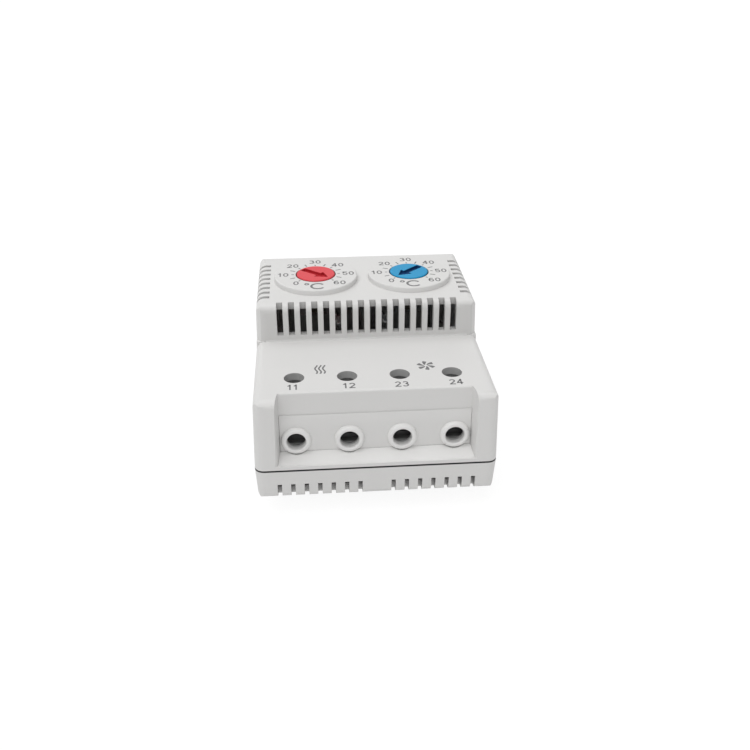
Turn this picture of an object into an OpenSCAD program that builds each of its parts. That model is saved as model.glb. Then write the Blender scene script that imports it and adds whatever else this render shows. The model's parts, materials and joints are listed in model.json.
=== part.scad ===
/* [Housing] */
// Width of the body at the seam
body_w = 60.6; // [59.6:0.5:66.6]
// Length of the body at the seam, from the terminal end to the far end
body_l = 70.1; // [69.6:0.5:78.1]
// Height of the seam above the underside of the base
seam_z = 8.3; // [7.9:0.1:8.9]
// Height of the terminal deck above the underside
deck_z = 27.8; // [27.5:0.1:30.3]
// Height of the top face above the underside
top_z = 37.8; // [37.2:0.1:41.2]
// Length of the dial section, from the step wall to the far end
dial_section_l = 37.3; // [36.7:0.1:38.5]
// Thickness of the moulded walls
wall = 2; // [1.7:0.05:2.1]
// Draft of the housing walls, in degrees
draft = 1.7; // [1:0.05:2]
// Rounding of the upright corners
corner_r = 2.4; // [1.4:0.1:2.8]
// Rounding of the edges of the terminal deck
deck_r = 2.2; // [1.4:0.1:2.4]
// Rounding of the edges of the top face
top_r = 2.2; // [1.2:0.1:2.4]

/* [Rear base] */
// Draft of the base, narrowing downwards, in degrees
base_draft = 3; // [2.5:0.5:6]
// Rounding of the lower edges of the base
base_r = 1.8; // [1.2:0.1:2]
// Height of the open groove along the seam
seam_gap = 0.4; // [0.25:0.05:0.5]
// Height of the tongue that laps into the housing
lap_h = 2; // [1.6:0.1:2.2]
// Width of each snap arm
snap_w = 6; // [5:0.5:7]

/* [Wire recess] */
// Width of each pillar beside the recess
pillar_w = 5.7; // [5.3:0.1:5.9]
// Narrowing of the recess from the face to its back wall, on each side
recess_taper = 0.8; // [0.6:0.05:0.9]
// Depth of the recess
recess_d = 4.9; // [4.6:0.1:5.2]
// Height of the sill above the seam
sill_h = 1.4; // [1.1:0.1:1.6]
// Rise of the ramp behind the sill
ramp_rise = 1.6; // [1.2:0.1:1.8]
// Height of the wire panel
panel_h = 10.3; // [10:0.1:10.8]

/* [Terminals] */
// Distance from each side of the housing to the nearest terminal's axis
terminal_side = 10.53; // [10.4:0.01:10.9]
// Distance from the terminal end to the screw axes
terminal_y = 12.35; // [12.2:0.05:12.8]
// Height of the wire entries above the seam
wire_rise = 6.2; // [6.1:0.05:6.4]
// Bore of each wire entry
wire_d = 4.72; // [4.4:0.02:4.9]
// Outer diameter of each wire collar
collar_d = 7.4; // [7:0.1:7.5]
// Reach of each wire collar in front of its panel
collar_reach = 1.1; // [0.8:0.1:1.3]
// Diameter of the screw access holes
access_d = 5.1; // [4.6:0.1:5.2]
// Diameter of the terminal screw heads
head_d = 5.4; // [5.3:0.1:5.5]
// Diameter of the terminal screw shanks
shank_d = 3; // [2.6:0.1:3.2]
// Travel of the clamp cages
cage_travel = 3.1; // [2.6:0.1:3.1]

/* [Vents] */
// Distance of the outer slots in the step wall from the sides, at least
step_slot_side = 6.2; // [5.7:0.1:9]
// Pitch of the slots in the step wall
step_slot_pitch = 3.1; // [2.9:0.05:3.2]
// Width of the slots in the step wall
step_slot_w = 1.65; // [1.2:0.05:1.8]
// Distance of the side vents from the step wall and from the far end, at least
side_vent_margin = 6.7; // [6:0.1:9]
// Pitch of the side vents
side_vent_pitch = 3.17; // [2.9:0.01:3.2]
// Width of the side vents
side_vent_w = 1.4; // [1:0.05:1.6]
// Distance of the outer base slots from the sides, at least
base_slot_side = 5.7; // [5.3:0.1:9]
// Pitch of the base slots
base_slot_pitch = 3.36; // [3:0.02:3.4]
// Width of the base slots
base_slot_w = 1.1; // [0.9:0.05:1.4]
// Distance between the two groups of base slots, centre to centre
base_slot_gap = 8.34; // [7:0.02:9]

/* [Dials] */
// Shift of each dial from the middle of its half towards the other dial
dial_shift = 1.99; // [1.8:0.01:2.1]
// Distance from the dial axes to the far end
dial_end = 19; // [18.7:0.1:19.3]
// Diameter of the raised scale discs
scale_d = 23.2; // [22:0.1:24]
// Height of the scale discs above the top face
scale_h = 1.5; // [1:0.1:1.8]
// Diameter of the knobs
knob_d = 10.72; // [10.2:0.02:11.4]
// Height of the knob faces above the scale discs
knob_proud = 0.3; // [0:0.05:0.6]
// Depth of the arrow sunk in each knob
arrow_depth = 0.8; // [0.4:0.1:0.9]
// Angle of the heating arrow, clockwise from the far end
heating_angle = 131; // [-135:1:135]
// Angle of the cooling arrow, clockwise from the far end
cooling_angle = -133; // [-135:1:135]
// Rise of the setting nuts for one turn of the dials
thread_lead = 2; // [1.5:0.1:2.4]

/* [Rail clip] */
// Width of the mounting rail
rail_w = 35; // [35:0.1:35.4]
// Distance from the rail's centre line to the far end
rail_end = 30.1; // [29.7:0.1:30.5]
// Depth of the clip below the underside of the base
clip_depth = 4.6; // [4.4:0.1:5]
// Room for the rail's flange between the base and the lips
flange_gap = 1.6; // [1.3:0.1:1.7]
// Reach of the lips over the rail's flange
lip_reach = 2.2; // [1.8:0.1:2.4]
// Width of each fixed hook
hook_w = 11; // [9:0.5:13]
// Width of the sliding latch
latch_w = 14; // [12:0.5:15]
// Travel of the sliding latch
latch_travel = 3; // [2.6:0.1:3.2]

/* [Switches] */
// Thickness of the bimetal strips
strip_t = 0.8; // [0.6:0.05:0.9]
// Width of the bimetal strips
strip_w = 6; // [5:0.2:7]
// Opening of the cooling contacts, in degrees of the strip
strip_tilt = 2.6; // [2:0.1:2.8]
// Thickness of the contact bars
bar_t = 0.8; // [0.6:0.05:0.9]
// Width of the contact bars
bar_w = 4.4; // [4:0.1:4.4]

/* [Hidden] */

$fn = 48;
// Flats in each rounded edge
arc_steps = 6;
// Overrun of every cut past the face it leaves
over = 1;
// Gap between fixed pieces that fit together
fit = 0.15;
// Radial clearance of a running fit
run_fit = 0.05;
// Gap between pieces that move past each other
clear = 0.3;

// Rounding at the foot of the step wall
foot_r = 0.6;
// Inset of the lap tongue from the outer faces
lap_inset = 1;
// Rounding of the pillars beside the recess, and of the recess's back corners
pillar_r = 1.1;
recess_r = 1.2;
// Flat in front of the ramp, and rounding of the deck's lip over the recess
sill_flat = 0.9;
lip_r = 0.5;
// Distance that the wire panel stands in front of the recess's back wall, and its play there
panel_proud = 0.3;
panel_play = 0.05;
// Thickness of the wire panel's plate, of the rim round its hollow back, and of its flange,
// and the flange's overlap behind the recess's back wall
panel_t = 1.3;
panel_rim = 0.6;
flange_t = 1;
flange_lap = 0.8;
// Roundings of the wire collars outside and inside the mouth
collar_r = 0.85;
mouth_r = 0.45;

// Slots in the step wall: their start behind the wall, and the height of their lower ends
step_slot_run = 3;
step_slot_foot = 1.6;
// Side vents: inner ends in from the side, and drop down the side
side_vent_in = 3.5;
side_vent_drop = 6;
// Base slots: height and run under the floor
base_slot_h = 4.3;
base_slot_run = 2.8;
// Slots in the far end wall: height of their lower ends above the seam, and drop of their upper ends
end_slot_low = 13.5;
end_slot_high = 4;

housing_z = seam_z + seam_gap;
sill_z = seam_z + sill_h;
ramp_z = sill_z + ramp_rise;
step_y = body_l - dial_section_l;
step_top_y = step_y + (top_z - deck_z) * tan(draft);
dial_y = body_l - dial_end;
cooling_x = body_w / 4 - dial_shift;
heating_x = -cooling_x;
recess_w = body_w - 2 * pillar_w;
recess_back_w = recess_w - 2 * recess_taper;
step_slots = 1 + floor((body_w - 2 * step_slot_side) / step_slot_pitch);
side_vents = 1 + floor((dial_section_l - 2 * side_vent_margin) / side_vent_pitch);
base_slots = 1 + floor(((body_w - base_slot_gap) / 2 - base_slot_side) / base_slot_pitch);

// Terminals: their spread, the wire panel and the collars
terminals = 4;
terminal_pitch = (body_w - 2 * terminal_side) / (terminals - 1);
wire_z = seam_z + wire_rise;
panel_y = recess_d - panel_proud;
panel_z = ramp_z + panel_play;
panel_in_y = panel_y + panel_t;
panel_back_y = recess_d + wall + panel_play;
collar_y = panel_y - collar_reach;
collar_seat_d = (wire_d + collar_d) / 2;

// Height of the contact bars over the wires' axes
bar_rise = 1.7;
bar_z = wire_z + bar_rise;
bar_top = bar_z + bar_t;

// Clamp cages: plates and sides, depth, and play round the bars
cage_floor_t = 1.2;
cage_top_t = 1.8;
cage_side_t = 0.8;
cage_d = 6.3;
cage_gap = 0.2;
bar_play = 0.4;
cage_in_z = bar_z - cage_travel - cage_gap;
cage_z = cage_in_z - cage_floor_t;
cage_in_top = bar_top + bar_play;
cage_top = cage_in_top + cage_top_t;
cage_w = bar_w + 2 * cage_gap + 2 * cage_side_t;

// Terminal screws: thickness of the heads, and their slots
head_t = 1.6;
head_slot_w = 0.9;
head_slot_d = 0.8;
head_z = cage_top + cage_travel + clear;
screw_tip_z = bar_top + run_fit;

// The contact carrier: its distance from the housing's sides, and its floor
carrier_side = 4.5;
carrier_t = 2;
carrier_w = body_w - 2 * carrier_side;
carrier_y = panel_back_y + flange_t + clear + fit;
carrier_top = deck_z - wall - clear;
carrier_floor = wall + carrier_t;

// Its terminal block: play round the cages, walls, screw wells and bar slots
chamber_play = 0.4;
chamber_wall = 1.2;
chamber_back = 2;
well_play = 0.3;
bar_slot = 0.1;
chamber_w = cage_w + 2 * chamber_play;
chamber_end = terminal_y + cage_d / 2 + chamber_play;
chamber_z = cage_z - clear;
block_end = chamber_end + chamber_back;
well_d = head_d + 2 * well_play;

// The bimetal strips: place of their rivets behind the dials, and overhangs at both ends
hinge_run = 10.4;
strip_lift = 2;
strip_tail = 2.5;
strip_r = 0.5;
strip_eye_d = 10.4;
strip_hole_d = 6;
tip_gap = 0.8;
hinge_y = dial_y + hinge_run;
strip_z = bar_top + strip_lift;
strip_top = strip_z + strip_t;
strip_mid_z = (strip_z + strip_top) / 2;
tip_y = step_y + wall + tip_gap;
strip_end = hinge_y + strip_tail;

// Magnets under the strips' tips, on pedestals
magnet_w = 5;
magnet_l = 2.6;
magnet_h = 4;
magnet_gap = 0.4;
magnet_in = 0.7;
magnet_r = 0.3;
pedestal_w = 6;
magnet_y = tip_y + magnet_in;
magnet_z = strip_z - magnet_gap - magnet_h;

// Contacts: discs, the moving ones' shanks and caps, and the closed gap
contact_d = 3;
contact_t = 0.7;
contact_shank_d = 1.4;
contact_cap_t = 0.3;
contact_cap_in = 0.35;
contact_touch = 0.02;
bar_lip = 0.3;
contact_y = magnet_y + magnet_l + clear + bar_lip + contact_d / 2;

// Spacers and rivets at the strips' roots
spacer_l = 4.6;
rivet_d = 2.4;
rivet_head_d = 3.8;
rivet_head_t = 0.8;
root_gap = 0.2;

// Calibration screws: places across each bay and from the step wall to the dials' axes as shares,
// sizes, and the bridge that holds them
calibration_heating_share = 0.7;
calibration_cooling_share = 0.5;
calibration_run_share = 0.448;
calibration_d = 2.8;
calibration_head_d = 4.6;
calibration_head_t = 1.6;
calibration_drop = 5.2;
bridge_l = 5;
bridge_lift = 2;
bridge_t = 3.5;
bridge_end = 2.4;
calibration_y = step_y + (dial_y - step_y) * calibration_run_share;
calibration_top = top_z - wall - calibration_drop;
bridge_z = strip_top + bridge_lift;

// The rest of the carrier: end wall, divider, bearing bosses and ribs
carrier_tail = 3.3;
divider_t = 1.6;
divider_rise = 1;
boss_d = 8;
boss_h = 8;
rib_w = 2.4;
carrier_end = hinge_y + carrier_tail;
divider_y = step_top_y + wall + clear;
divider_top = deck_z + divider_rise;
boss_z = carrier_floor + boss_h;
calibration_room = cooling_x - strip_w / 2 - divider_t / 2;
calibration_heating_x = -divider_t / 2 - calibration_room * calibration_heating_share;
calibration_cooling_x = divider_t / 2 + calibration_room * calibration_cooling_share;

// Outer contact bars: width of the long run, and reach of the tab past the dial's axis
bar_run_w = 2;
bar_tab_in = 4.2;
bar_run_x = carrier_w / 2 - bar_slot - bar_run_w / 2;

// Knobs: gap round the cap, flange, hub, cap and edge
knob_gap = 0.28;
knob_flange_reach = 1.2;
knob_flange_t = 1.2;
hub_d = 6.8;
hub_h = 2.6;
knob_cap_t = 1.9;
knob_edge_r = 0.35;
dial_hole_d = knob_d + 2 * knob_gap;
knob_z = top_z + scale_h + knob_proud;
knob_flange_d = knob_d + 2 * knob_flange_reach;
knob_flange_z = top_z - wall - clear - knob_flange_t;
hub_z = knob_flange_z - hub_h;

// Spindles: pivot, lower shaft, threaded body, flatted end and thrust washer
pivot_d = 3;
pivot_l = 5.5;
spindle_low_d = 4;
spindle_d = 5;
thread_start = 1.8;
spindle_top_d = 4;
spindle_flat = 0.6;
washer_d = 6;
washer_t = 0.4;
washer_z = boss_z;
spindle_z = washer_z + washer_t + run_fit;
thread_z = strip_z + thread_start;
spindle_shoulder_z = hub_z - clear;
spindle_top_z = knob_z - knob_cap_t - fit;

// Setting nuts with their ears, and the guide posts in which the ears slide
nut_w = 11.4;
nut_l = 8;
nut_h = 5.6;
nut_r = 0.6;
nut_lift = 3.2;
ear_w = 2;
ear_reach = 1;
post_w = 1.9;
post_l = 5;
nut_z = strip_top + nut_lift;
post_x = nut_w / 2 + clear;
post_top = nut_z + nut_h + thread_lead + clear;
stop_angle = 136;

// Setting springs
setting_coil_d = 7.4;
setting_wire_d = 0.5;
setting_turns = 3;

// The arrow sunk in each knob, from tail to tip
arrow_tail = 4.7;
arrow_tip = 4.4;
arrow_w = 1.8;
arrow_head_l = 3.3;
arrow_head_w = 3.9;

// The rail clip below the base: play round the rail, hooks and jaw
rail_play = 0.3;
hook_l = 4;
hook_x = 16;
jaw_w = 32;
jaw_l = 8.2;
lead_in = 1.8;
// Relief grooves under the base at the rail's edges, which leave a flat seat between them
seat_relief = 0.4;
rail_y = body_l - rail_end;
jaw_y = rail_y - rail_w / 2 - rail_play;
hook_y = rail_y + rail_w / 2 + rail_play;

// The latch: height over the clip's lowest faces, flanges, tab, tool slot and spring window
latch_low = 0.3;
latch_flange = 1.3;
latch_flange_t = 0.9;
latch_tab = 3.5;
latch_tab_t = 1.6;
latch_slot_w = 5;
latch_slot_l = 1.1;
window_w = 4.4;
window_l = 6.4;
window_in = 0.6;
spring_post_l = 1;
spring_post_drop = 3.7;
latch_coil_d = 2.4;
latch_wire_d = 0.4;
latch_turns = 4;
window_y = jaw_y - jaw_l + window_in;

// Snap arms on the base and their pockets in the housing
snap_t = 1.2;
snap_h = 5.4;
snap_barb = 0.9;
snap_barb_h = 1.8;
snap_front = 25;
snap_back = 11;
snap_x = body_w / 2 - wall - fit;
snap_top = seam_z + snap_h;
snap_ys = [snap_front, body_l - snap_back];

function half_w(z) = body_w / 2 - (z - seam_z) * tan(draft);
function front_y(z) = (z - seam_z) * tan(draft);
function rear_y(z) = body_l - (z - seam_z) * tan(draft);
function base_in(z) = (seam_z - z) * tan(base_draft);
function terminal_x(i) = (i - (terminals - 1) / 2) * terminal_pitch;
function nut_rise(from_stop) = thread_lead * from_stop / 360;

function unit(v) = v / norm(v);
function xy(p) = [p[0], p[1]];
function bend(a, b, c, r) =
    r == 0 ? [b] :
    let (u = unit(a - b), v = unit(c - b), half = acos(u * v) / 2)
    let (centre = b + unit(u + v) * r / sin(half))
    let (from = b + u * r / tan(half) - centre, to = b + v * r / tan(half) - centre)
    let (start = atan2(from[1], from[0]))
    let (turn = (atan2(to[1], to[0]) - start + 540) % 360 - 180)
    [for (i = [0:arc_steps])
        centre + r * [cos(start + turn * i / arc_steps), sin(start + turn * i / arc_steps)]];
// A closed outline from corners given as [x, y, rounding]
function rounded(corners) =
    let (n = len(corners))
    [for (i = [0:n - 1])
        each bend(xy(corners[(i + n - 1) % n]), xy(corners[i]), xy(corners[(i + 1) % n]),
                  corners[i][2])];

module in_place() translate([0, -body_l / 2, clip_depth]) children();
module along_x(from, to) translate([from, 0, 0]) rotate([90, 0, 90]) linear_extrude(to - from) children();
module along_y(from, to) translate([0, to, 0]) rotate([90, 0, 0]) linear_extrude(to - from) children();
module along_z(from, to) translate([0, 0, from]) linear_extrude(to - from) children();
module both_sides() {
    children();
    mirror([1, 0, 0]) children();
}
module block(low, high) translate(low) cube(high - low);
module round_x(low, high, r) polygon(rounded([
    [low[0], low[1], r], [high[0], low[1], r], [high[0], high[1], r], [low[0], high[1], r]]));
module post(d, low, high) translate([0, 0, low]) cylinder(d = d, h = high - low);
module at_terminal(i) translate([terminal_x(i), terminal_y, 0]) children();
module bore_y(d, from, to) translate([0, to, 0]) rotate([90, 0, 0]) cylinder(d = d, h = to - from);

// What is cut from an upright edge to round it: the edge is at the origin, the solid in +x +y
module corner_cut(r, lean, h) rotate([-lean, lean, 0]) translate([0, 0, -over])
    linear_extrude(h + 2 * over) polygon(concat(
        [[-over, -over]], [[r, -over]],
        [for (i = [0:arc_steps]) [r, r] - r * [cos(90 - 90 * i / arc_steps), sin(90 - 90 * i / arc_steps)]],
        [[-over, r]]));

// A coil spring standing on z = 0: mean diameter, wire, height between its ends' centres
module coil(d, wire, h, turns) {
    ring = 8;
    steps = 14 * turns;
    points = [for (j = [0:steps], k = [0:ring - 1])
        let (a = 360 * turns * j / steps, b = 360 * k / ring, reach = d / 2 + wire / 2 * cos(b))
        [reach * cos(a), reach * sin(a), wire / 2 + h * j / steps + wire / 2 * sin(b)]];
    sides = [for (j = [0:steps - 1], k = [0:ring - 1])
        let (a = j * ring + k, b = j * ring + (k + 1) % ring)
        each [[a, a + ring, b + ring], [a, b + ring, b]]];
    ends = [[for (k = [0:ring - 1]) k], [for (k = [ring - 1:-1:0]) steps * ring + k]];
    polyhedron(points, concat(sides, ends));
}

// The housing: outer form, hollow, recess, vents and holes
module housing_form() difference() {
    intersection() {
        along_x(-body_w, body_w) polygon(rounded([
            [front_y(housing_z), housing_z, 0], [rear_y(housing_z), housing_z, 0],
            [rear_y(top_z), top_z, top_r], [step_top_y, top_z, top_r],
            [step_y, deck_z, foot_r], [front_y(deck_z), deck_z, deck_r]]));
        along_y(-over, body_l + over) polygon(rounded([
            [-half_w(housing_z), housing_z, 0], [half_w(housing_z), housing_z, 0],
            [half_w(top_z), top_z, top_r], [-half_w(top_z), top_z, top_r]]));
    }
    both_sides() {
        translate([-body_w / 2, 0, seam_z]) corner_cut(corner_r, draft, top_z - seam_z);
        translate([-body_w / 2, body_l, seam_z]) mirror([0, 1, 0])
            corner_cut(corner_r, draft, top_z - seam_z);
        translate([-half_w(deck_z), step_y, deck_z]) intersection() {
            corner_cut(corner_r, draft, top_z - deck_z);
            block([-body_w, -body_w, 0], [body_w, body_w, top_z]);
        }
        along_y(-over, step_y) polygon(concat(
            [[-body_w / 2 - over, deck_z - deck_r], [-body_w / 2 - over, deck_z + over],
             [-half_w(deck_z) + deck_r, deck_z + over]],
            bend([0, deck_z], [-half_w(deck_z), deck_z], [-half_w(seam_z), seam_z], deck_r)));
    }
}

module recess_block() block([-recess_w / 2 - wall, -over, 0],
                            [recess_w / 2 + wall, recess_d + wall, top_z]);

module housing_hollow() difference() {
    union() {
        intersection() {
            along_x(-body_w, body_w) polygon([
                [front_y(seam_z) + wall, seam_z], [rear_y(seam_z) - wall, seam_z],
                [rear_y(top_z) - wall, top_z - wall], [step_top_y + wall, top_z - wall],
                [step_y + wall, deck_z - wall], [front_y(deck_z) + wall, deck_z - wall]]);
            along_y(0, body_l) polygon([
                [-half_w(seam_z) + wall, seam_z], [half_w(seam_z) - wall, seam_z],
                [half_w(top_z) - wall, top_z - wall], [-half_w(top_z) + wall, top_z - wall]]);
        }
        along_z(seam_z, seam_z + lap_h + fit)
            round_x([-body_w / 2 + lap_inset - fit, lap_inset - fit],
                    [body_w / 2 - lap_inset + fit, body_l - lap_inset + fit], corner_r - lap_inset + fit);
    }
    recess_block();
}

module recess_cut() intersection() {
    along_x(-body_w, body_w) polygon(rounded([
        [-over, sill_z, 0], [sill_flat, sill_z, 0], [recess_d, ramp_z, 0],
        [recess_d, deck_z, lip_r], [recess_d + lip_r, deck_z, 0],
        [recess_d + lip_r, deck_z + over, 0], [-over, deck_z + over, 0]]));
    along_z(seam_z, deck_z + over) polygon(rounded([
        [-recess_w / 2 - pillar_r * 2, -over, 0], [recess_w / 2 + pillar_r * 2, -over, 0],
        [recess_w / 2 + pillar_r * 2, 0, 0], [recess_w / 2, 0, pillar_r],
        [recess_back_w / 2, recess_d + lip_r, recess_r], [-recess_back_w / 2, recess_d + lip_r, recess_r],
        [-recess_w / 2, 0, pillar_r], [-recess_w / 2 - pillar_r * 2, 0, 0]]));
}

module panel_window() block(
    [-recess_back_w / 2, recess_d - over, ramp_z],
    [recess_back_w / 2, recess_d + wall + over, ramp_z + panel_h]);

module step_slot_cuts() for (i = [0:step_slots - 1])
    translate([(i - (step_slots - 1) / 2) * step_slot_pitch, 0, 0])
        block([-step_slot_w / 2, step_y - over, deck_z + step_slot_foot],
              [step_slot_w / 2, step_y + step_slot_run, top_z + over]);

module side_vent_cuts() both_sides() for (i = [0:side_vents - 1])
    translate([0, step_y + side_vent_margin + i * side_vent_pitch, 0])
        block([half_w(top_z) - side_vent_in, -side_vent_w / 2, top_z - side_vent_drop],
              [body_w / 2 + over, side_vent_w / 2, top_z + over]);

module end_slot_cuts() for (i = [0:step_slots - 1])
    translate([(i - (step_slots - 1) / 2) * step_slot_pitch, 0, 0])
        block([-step_slot_w / 2, body_l - wall - over, seam_z + end_slot_low],
              [step_slot_w / 2, body_l + over, top_z - end_slot_high]);

module snap_pockets() both_sides() for (y = snap_ys)
    block([snap_x - over, y - snap_w / 2 - clear, snap_top - snap_barb_h - fit],
          [snap_x + snap_barb + fit, y + snap_w / 2 + clear, snap_top + clear]);

module front_housing() in_place() color("gainsboro") difference() {
    union() {
        difference() {
            housing_form();
            housing_hollow();
        }
        for (x = [heating_x, cooling_x]) translate([x, dial_y, 0]) rotate_extrude() polygon(rounded([
            [0, top_z - wall, 0], [scale_d / 2, top_z - wall, 0],
            [scale_d / 2, top_z + scale_h, knob_edge_r], [0, top_z + scale_h, 0]]));
    }
    recess_cut();
    panel_window();
    step_slot_cuts();
    side_vent_cuts();
    end_slot_cuts();
    snap_pockets();
    for (i = [0:terminals - 1]) {
        at_terminal(i) post(access_d, deck_z - wall - over, deck_z + over);
        translate([terminal_x(i), 0, wire_z]) bore_y(collar_d + 2 * fit, -over, recess_d + wall + over);
    }
    for (x = [heating_x, cooling_x]) translate([x, dial_y, 0])
        post(dial_hole_d, top_z - wall - over, top_z + scale_h + over);
}

// The rear base: tray, lap tongue, snap arms, rail jaw and hooks
module base_form() difference() {
    intersection() {
        along_x(-body_w, body_w) polygon(rounded([
            [base_in(0), 0, base_r], [body_l - base_in(0), 0, base_r],
            [body_l, seam_z, 0], [0, seam_z, 0]]));
        along_y(-over, body_l + over) polygon(rounded([
            [-body_w / 2 + base_in(0), 0, base_r], [body_w / 2 - base_in(0), 0, base_r],
            [body_w / 2, seam_z, 0], [-body_w / 2, seam_z, 0]]));
    }
    both_sides() {
        translate([-body_w / 2 + base_in(0), base_in(0), 0]) corner_cut(corner_r, -base_draft, seam_z);
        translate([-body_w / 2 + base_in(0), body_l - base_in(0), 0]) mirror([0, 1, 0])
            corner_cut(corner_r, -base_draft, seam_z);
    }
}

module base_slot_cuts() for (end = [0, 1], side = [-1, 1], i = [0:base_slots - 1])
    translate([side * (base_slot_gap / 2 + i * base_slot_pitch), end * body_l, 0]) mirror([0, end, 0])
        block([-base_slot_w / 2, -over, -over], [base_slot_w / 2, base_slot_run, base_slot_h]);

module lap_tongue() difference() {
    along_z(seam_z - wall, seam_z + lap_h) difference() {
        round_x([-body_w / 2 + lap_inset, lap_inset], [body_w / 2 - lap_inset, body_l - lap_inset],
                corner_r - lap_inset);
        round_x([-body_w / 2 + wall, wall], [body_w / 2 - wall, body_l - wall], 0);
    }
    block([-recess_w / 2 - wall - fit, -over, seam_z], [recess_w / 2 + wall + fit, recess_d + wall, top_z]);
}

module snap_arm() along_y(-snap_w / 2, snap_w / 2) polygon([
    [-snap_t, wall / 2], [0, wall / 2], [0, snap_top - snap_barb_h],
    [snap_barb, snap_top - snap_barb_h], [snap_barb, snap_top - snap_barb_h + snap_barb / 2],
    [0, snap_top], [-snap_t, snap_top]]);

// The jaw that holds the latch: a block with a channel, grooves for the latch's flanges and a post
module rail_jaw() difference() {
    block([-jaw_w / 2, jaw_y - jaw_l, -clip_depth], [jaw_w / 2, jaw_y, wall / 2]);
    block([-latch_w / 2 - clear, jaw_y - jaw_l - over, -clip_depth - over],
          [latch_w / 2 + clear, jaw_y + over, -flange_gap + clear]);
    block([-latch_w / 2 - latch_flange - clear, jaw_y - jaw_l - over, -flange_gap - latch_flange_t - clear],
          [latch_w / 2 + latch_flange + clear, jaw_y + over, -flange_gap + clear]);
}

module spring_post() block(
    [-window_w / 2 + clear, window_y + clear, -spring_post_drop],
    [window_w / 2 - clear, window_y + clear + spring_post_l, 0]);

module rail_hook() along_x(-hook_w / 2, hook_w / 2) polygon(rounded([
    [hook_y, wall / 2, 0], [hook_y, -flange_gap, 0], [hook_y - lip_reach, -flange_gap, 0],
    [hook_y - lip_reach, -clip_depth + lead_in / 2, 0], [hook_y - lip_reach + lead_in / 2, -clip_depth, 0],
    [hook_y + hook_l, -clip_depth, lead_in], [hook_y + hook_l, wall / 2, 0]]));

module rear_base() in_place() color("gainsboro") difference() {
    union() {
        difference() {
            base_form();
            block([-body_w / 2 + wall + base_in(wall), wall + base_in(wall), wall],
                  [body_w / 2 - wall - base_in(wall), body_l - wall - base_in(wall), seam_z + over]);
            for (y = [jaw_y, hook_y - lip_reach - clear])
                block([-body_w, y, -over], [body_w, y + lip_reach + clear, seat_relief]);
        }
        lap_tongue();
        both_sides() for (y = snap_ys)
            translate([snap_x, y, 0]) snap_arm();
        rail_jaw();
        spring_post();
        for (side = [-1, 1]) translate([side * hook_x, 0, 0]) rail_hook();
    }
    base_slot_cuts();
}

// The wire panel: a thin plate with a rim and a flange behind it, and four rounded collars
module wire_collar() rotate([90, 0, 0]) translate([0, 0, -panel_in_y]) rotate_extrude() polygon(rounded([
    [wire_d / 2, 0, 0], [collar_d / 2, 0, 0],
    [collar_d / 2, panel_in_y - collar_y, collar_r], [wire_d / 2, panel_in_y - collar_y, mouth_r]]));

module wire_panel() in_place() color("gainsboro") {
    difference() {
        union() {
            along_y(panel_y, panel_back_y) round_x(
                [-recess_back_w / 2 + panel_play, panel_z],
                [recess_back_w / 2 - panel_play, ramp_z + panel_h - panel_play], 0);
            along_y(panel_back_y, panel_back_y + flange_t) round_x(
                [-recess_back_w / 2 - flange_lap, ramp_z - flange_lap],
                [recess_back_w / 2 + flange_lap, ramp_z + panel_h + flange_lap], flange_lap);
        }
        block([-recess_back_w / 2 + panel_rim, panel_in_y, panel_z + panel_rim],
              [recess_back_w / 2 - panel_rim, carrier_y, ramp_z + panel_h - panel_rim]);
        for (i = [0:terminals - 1]) translate([terminal_x(i), 0, wire_z])
            bore_y(collar_seat_d, 0, panel_in_y + over);
    }
    for (i = [0:terminals - 1]) translate([terminal_x(i), 0, wire_z]) wire_collar();
}

// The contact carrier
module chamber_cuts() for (i = [0:terminals - 1]) at_terminal(i) {
    block([-chamber_w / 2, carrier_y - over - terminal_y, chamber_z],
          [chamber_w / 2, chamber_end - terminal_y, head_z - clear / 2]);
    post(well_d, head_z - clear, carrier_top + over);
    block([-bar_w / 2 - bar_slot, 0, bar_z - bar_slot],
          [bar_w / 2 + bar_slot, block_end - terminal_y + over, bar_top + bar_slot]);
}

module block_pockets() for (i = [0:terminals - 2]) translate([terminal_x(i) + terminal_pitch / 2, 0, 0])
    block([-(terminal_pitch - chamber_w) / 2 + chamber_wall, carrier_y + chamber_wall, carrier_floor],
          [(terminal_pitch - chamber_w) / 2 - chamber_wall, block_end + over, carrier_top - chamber_wall]);

// What stands in one switch bay, about the dial's axis: the bearing boss and the guide posts
module dial_seat() {
    difference() {
        post(boss_d, carrier_floor, boss_z);
        post(pivot_d + 2 * run_fit, boss_z - pivot_l - clear, boss_z + over);
    }
    for (side = [-1, 1]) scale([side, 1, 1]) difference() {
        block([post_x, -post_l / 2, carrier_floor], [post_x + post_w, post_l / 2, post_top]);
        block([post_x - over, -ear_w / 2 - clear, nut_z - 2 * clear],
              [post_x + ear_reach + clear, ear_w / 2 + clear, post_top + over]);
    }
}

module bar_ribs() {
    both_sides() {
        block([bar_run_x - bar_run_w / 2, block_end, carrier_floor],
              [bar_run_x + bar_run_w / 2, carrier_end, bar_z]);
        block([cooling_x - bar_tab_in + chamber_wall, hinge_y - spacer_l / 2, carrier_floor],
              [bar_run_x, hinge_y - spacer_l / 2 + rib_w, bar_z]);
        block([terminal_x(2) - rib_w / 2, block_end, carrier_floor],
              [terminal_x(2) + rib_w / 2, contact_y - contact_d / 2, bar_z]);
        block([cooling_x - pedestal_w / 2, magnet_y, carrier_floor],
              [cooling_x + pedestal_w / 2, magnet_y + magnet_l, magnet_z]);
        block([cooling_x - rib_w / 2, contact_y - contact_d / 2, carrier_floor],
              [cooling_x + rib_w / 2, contact_y, bar_z]);
    }
}

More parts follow.
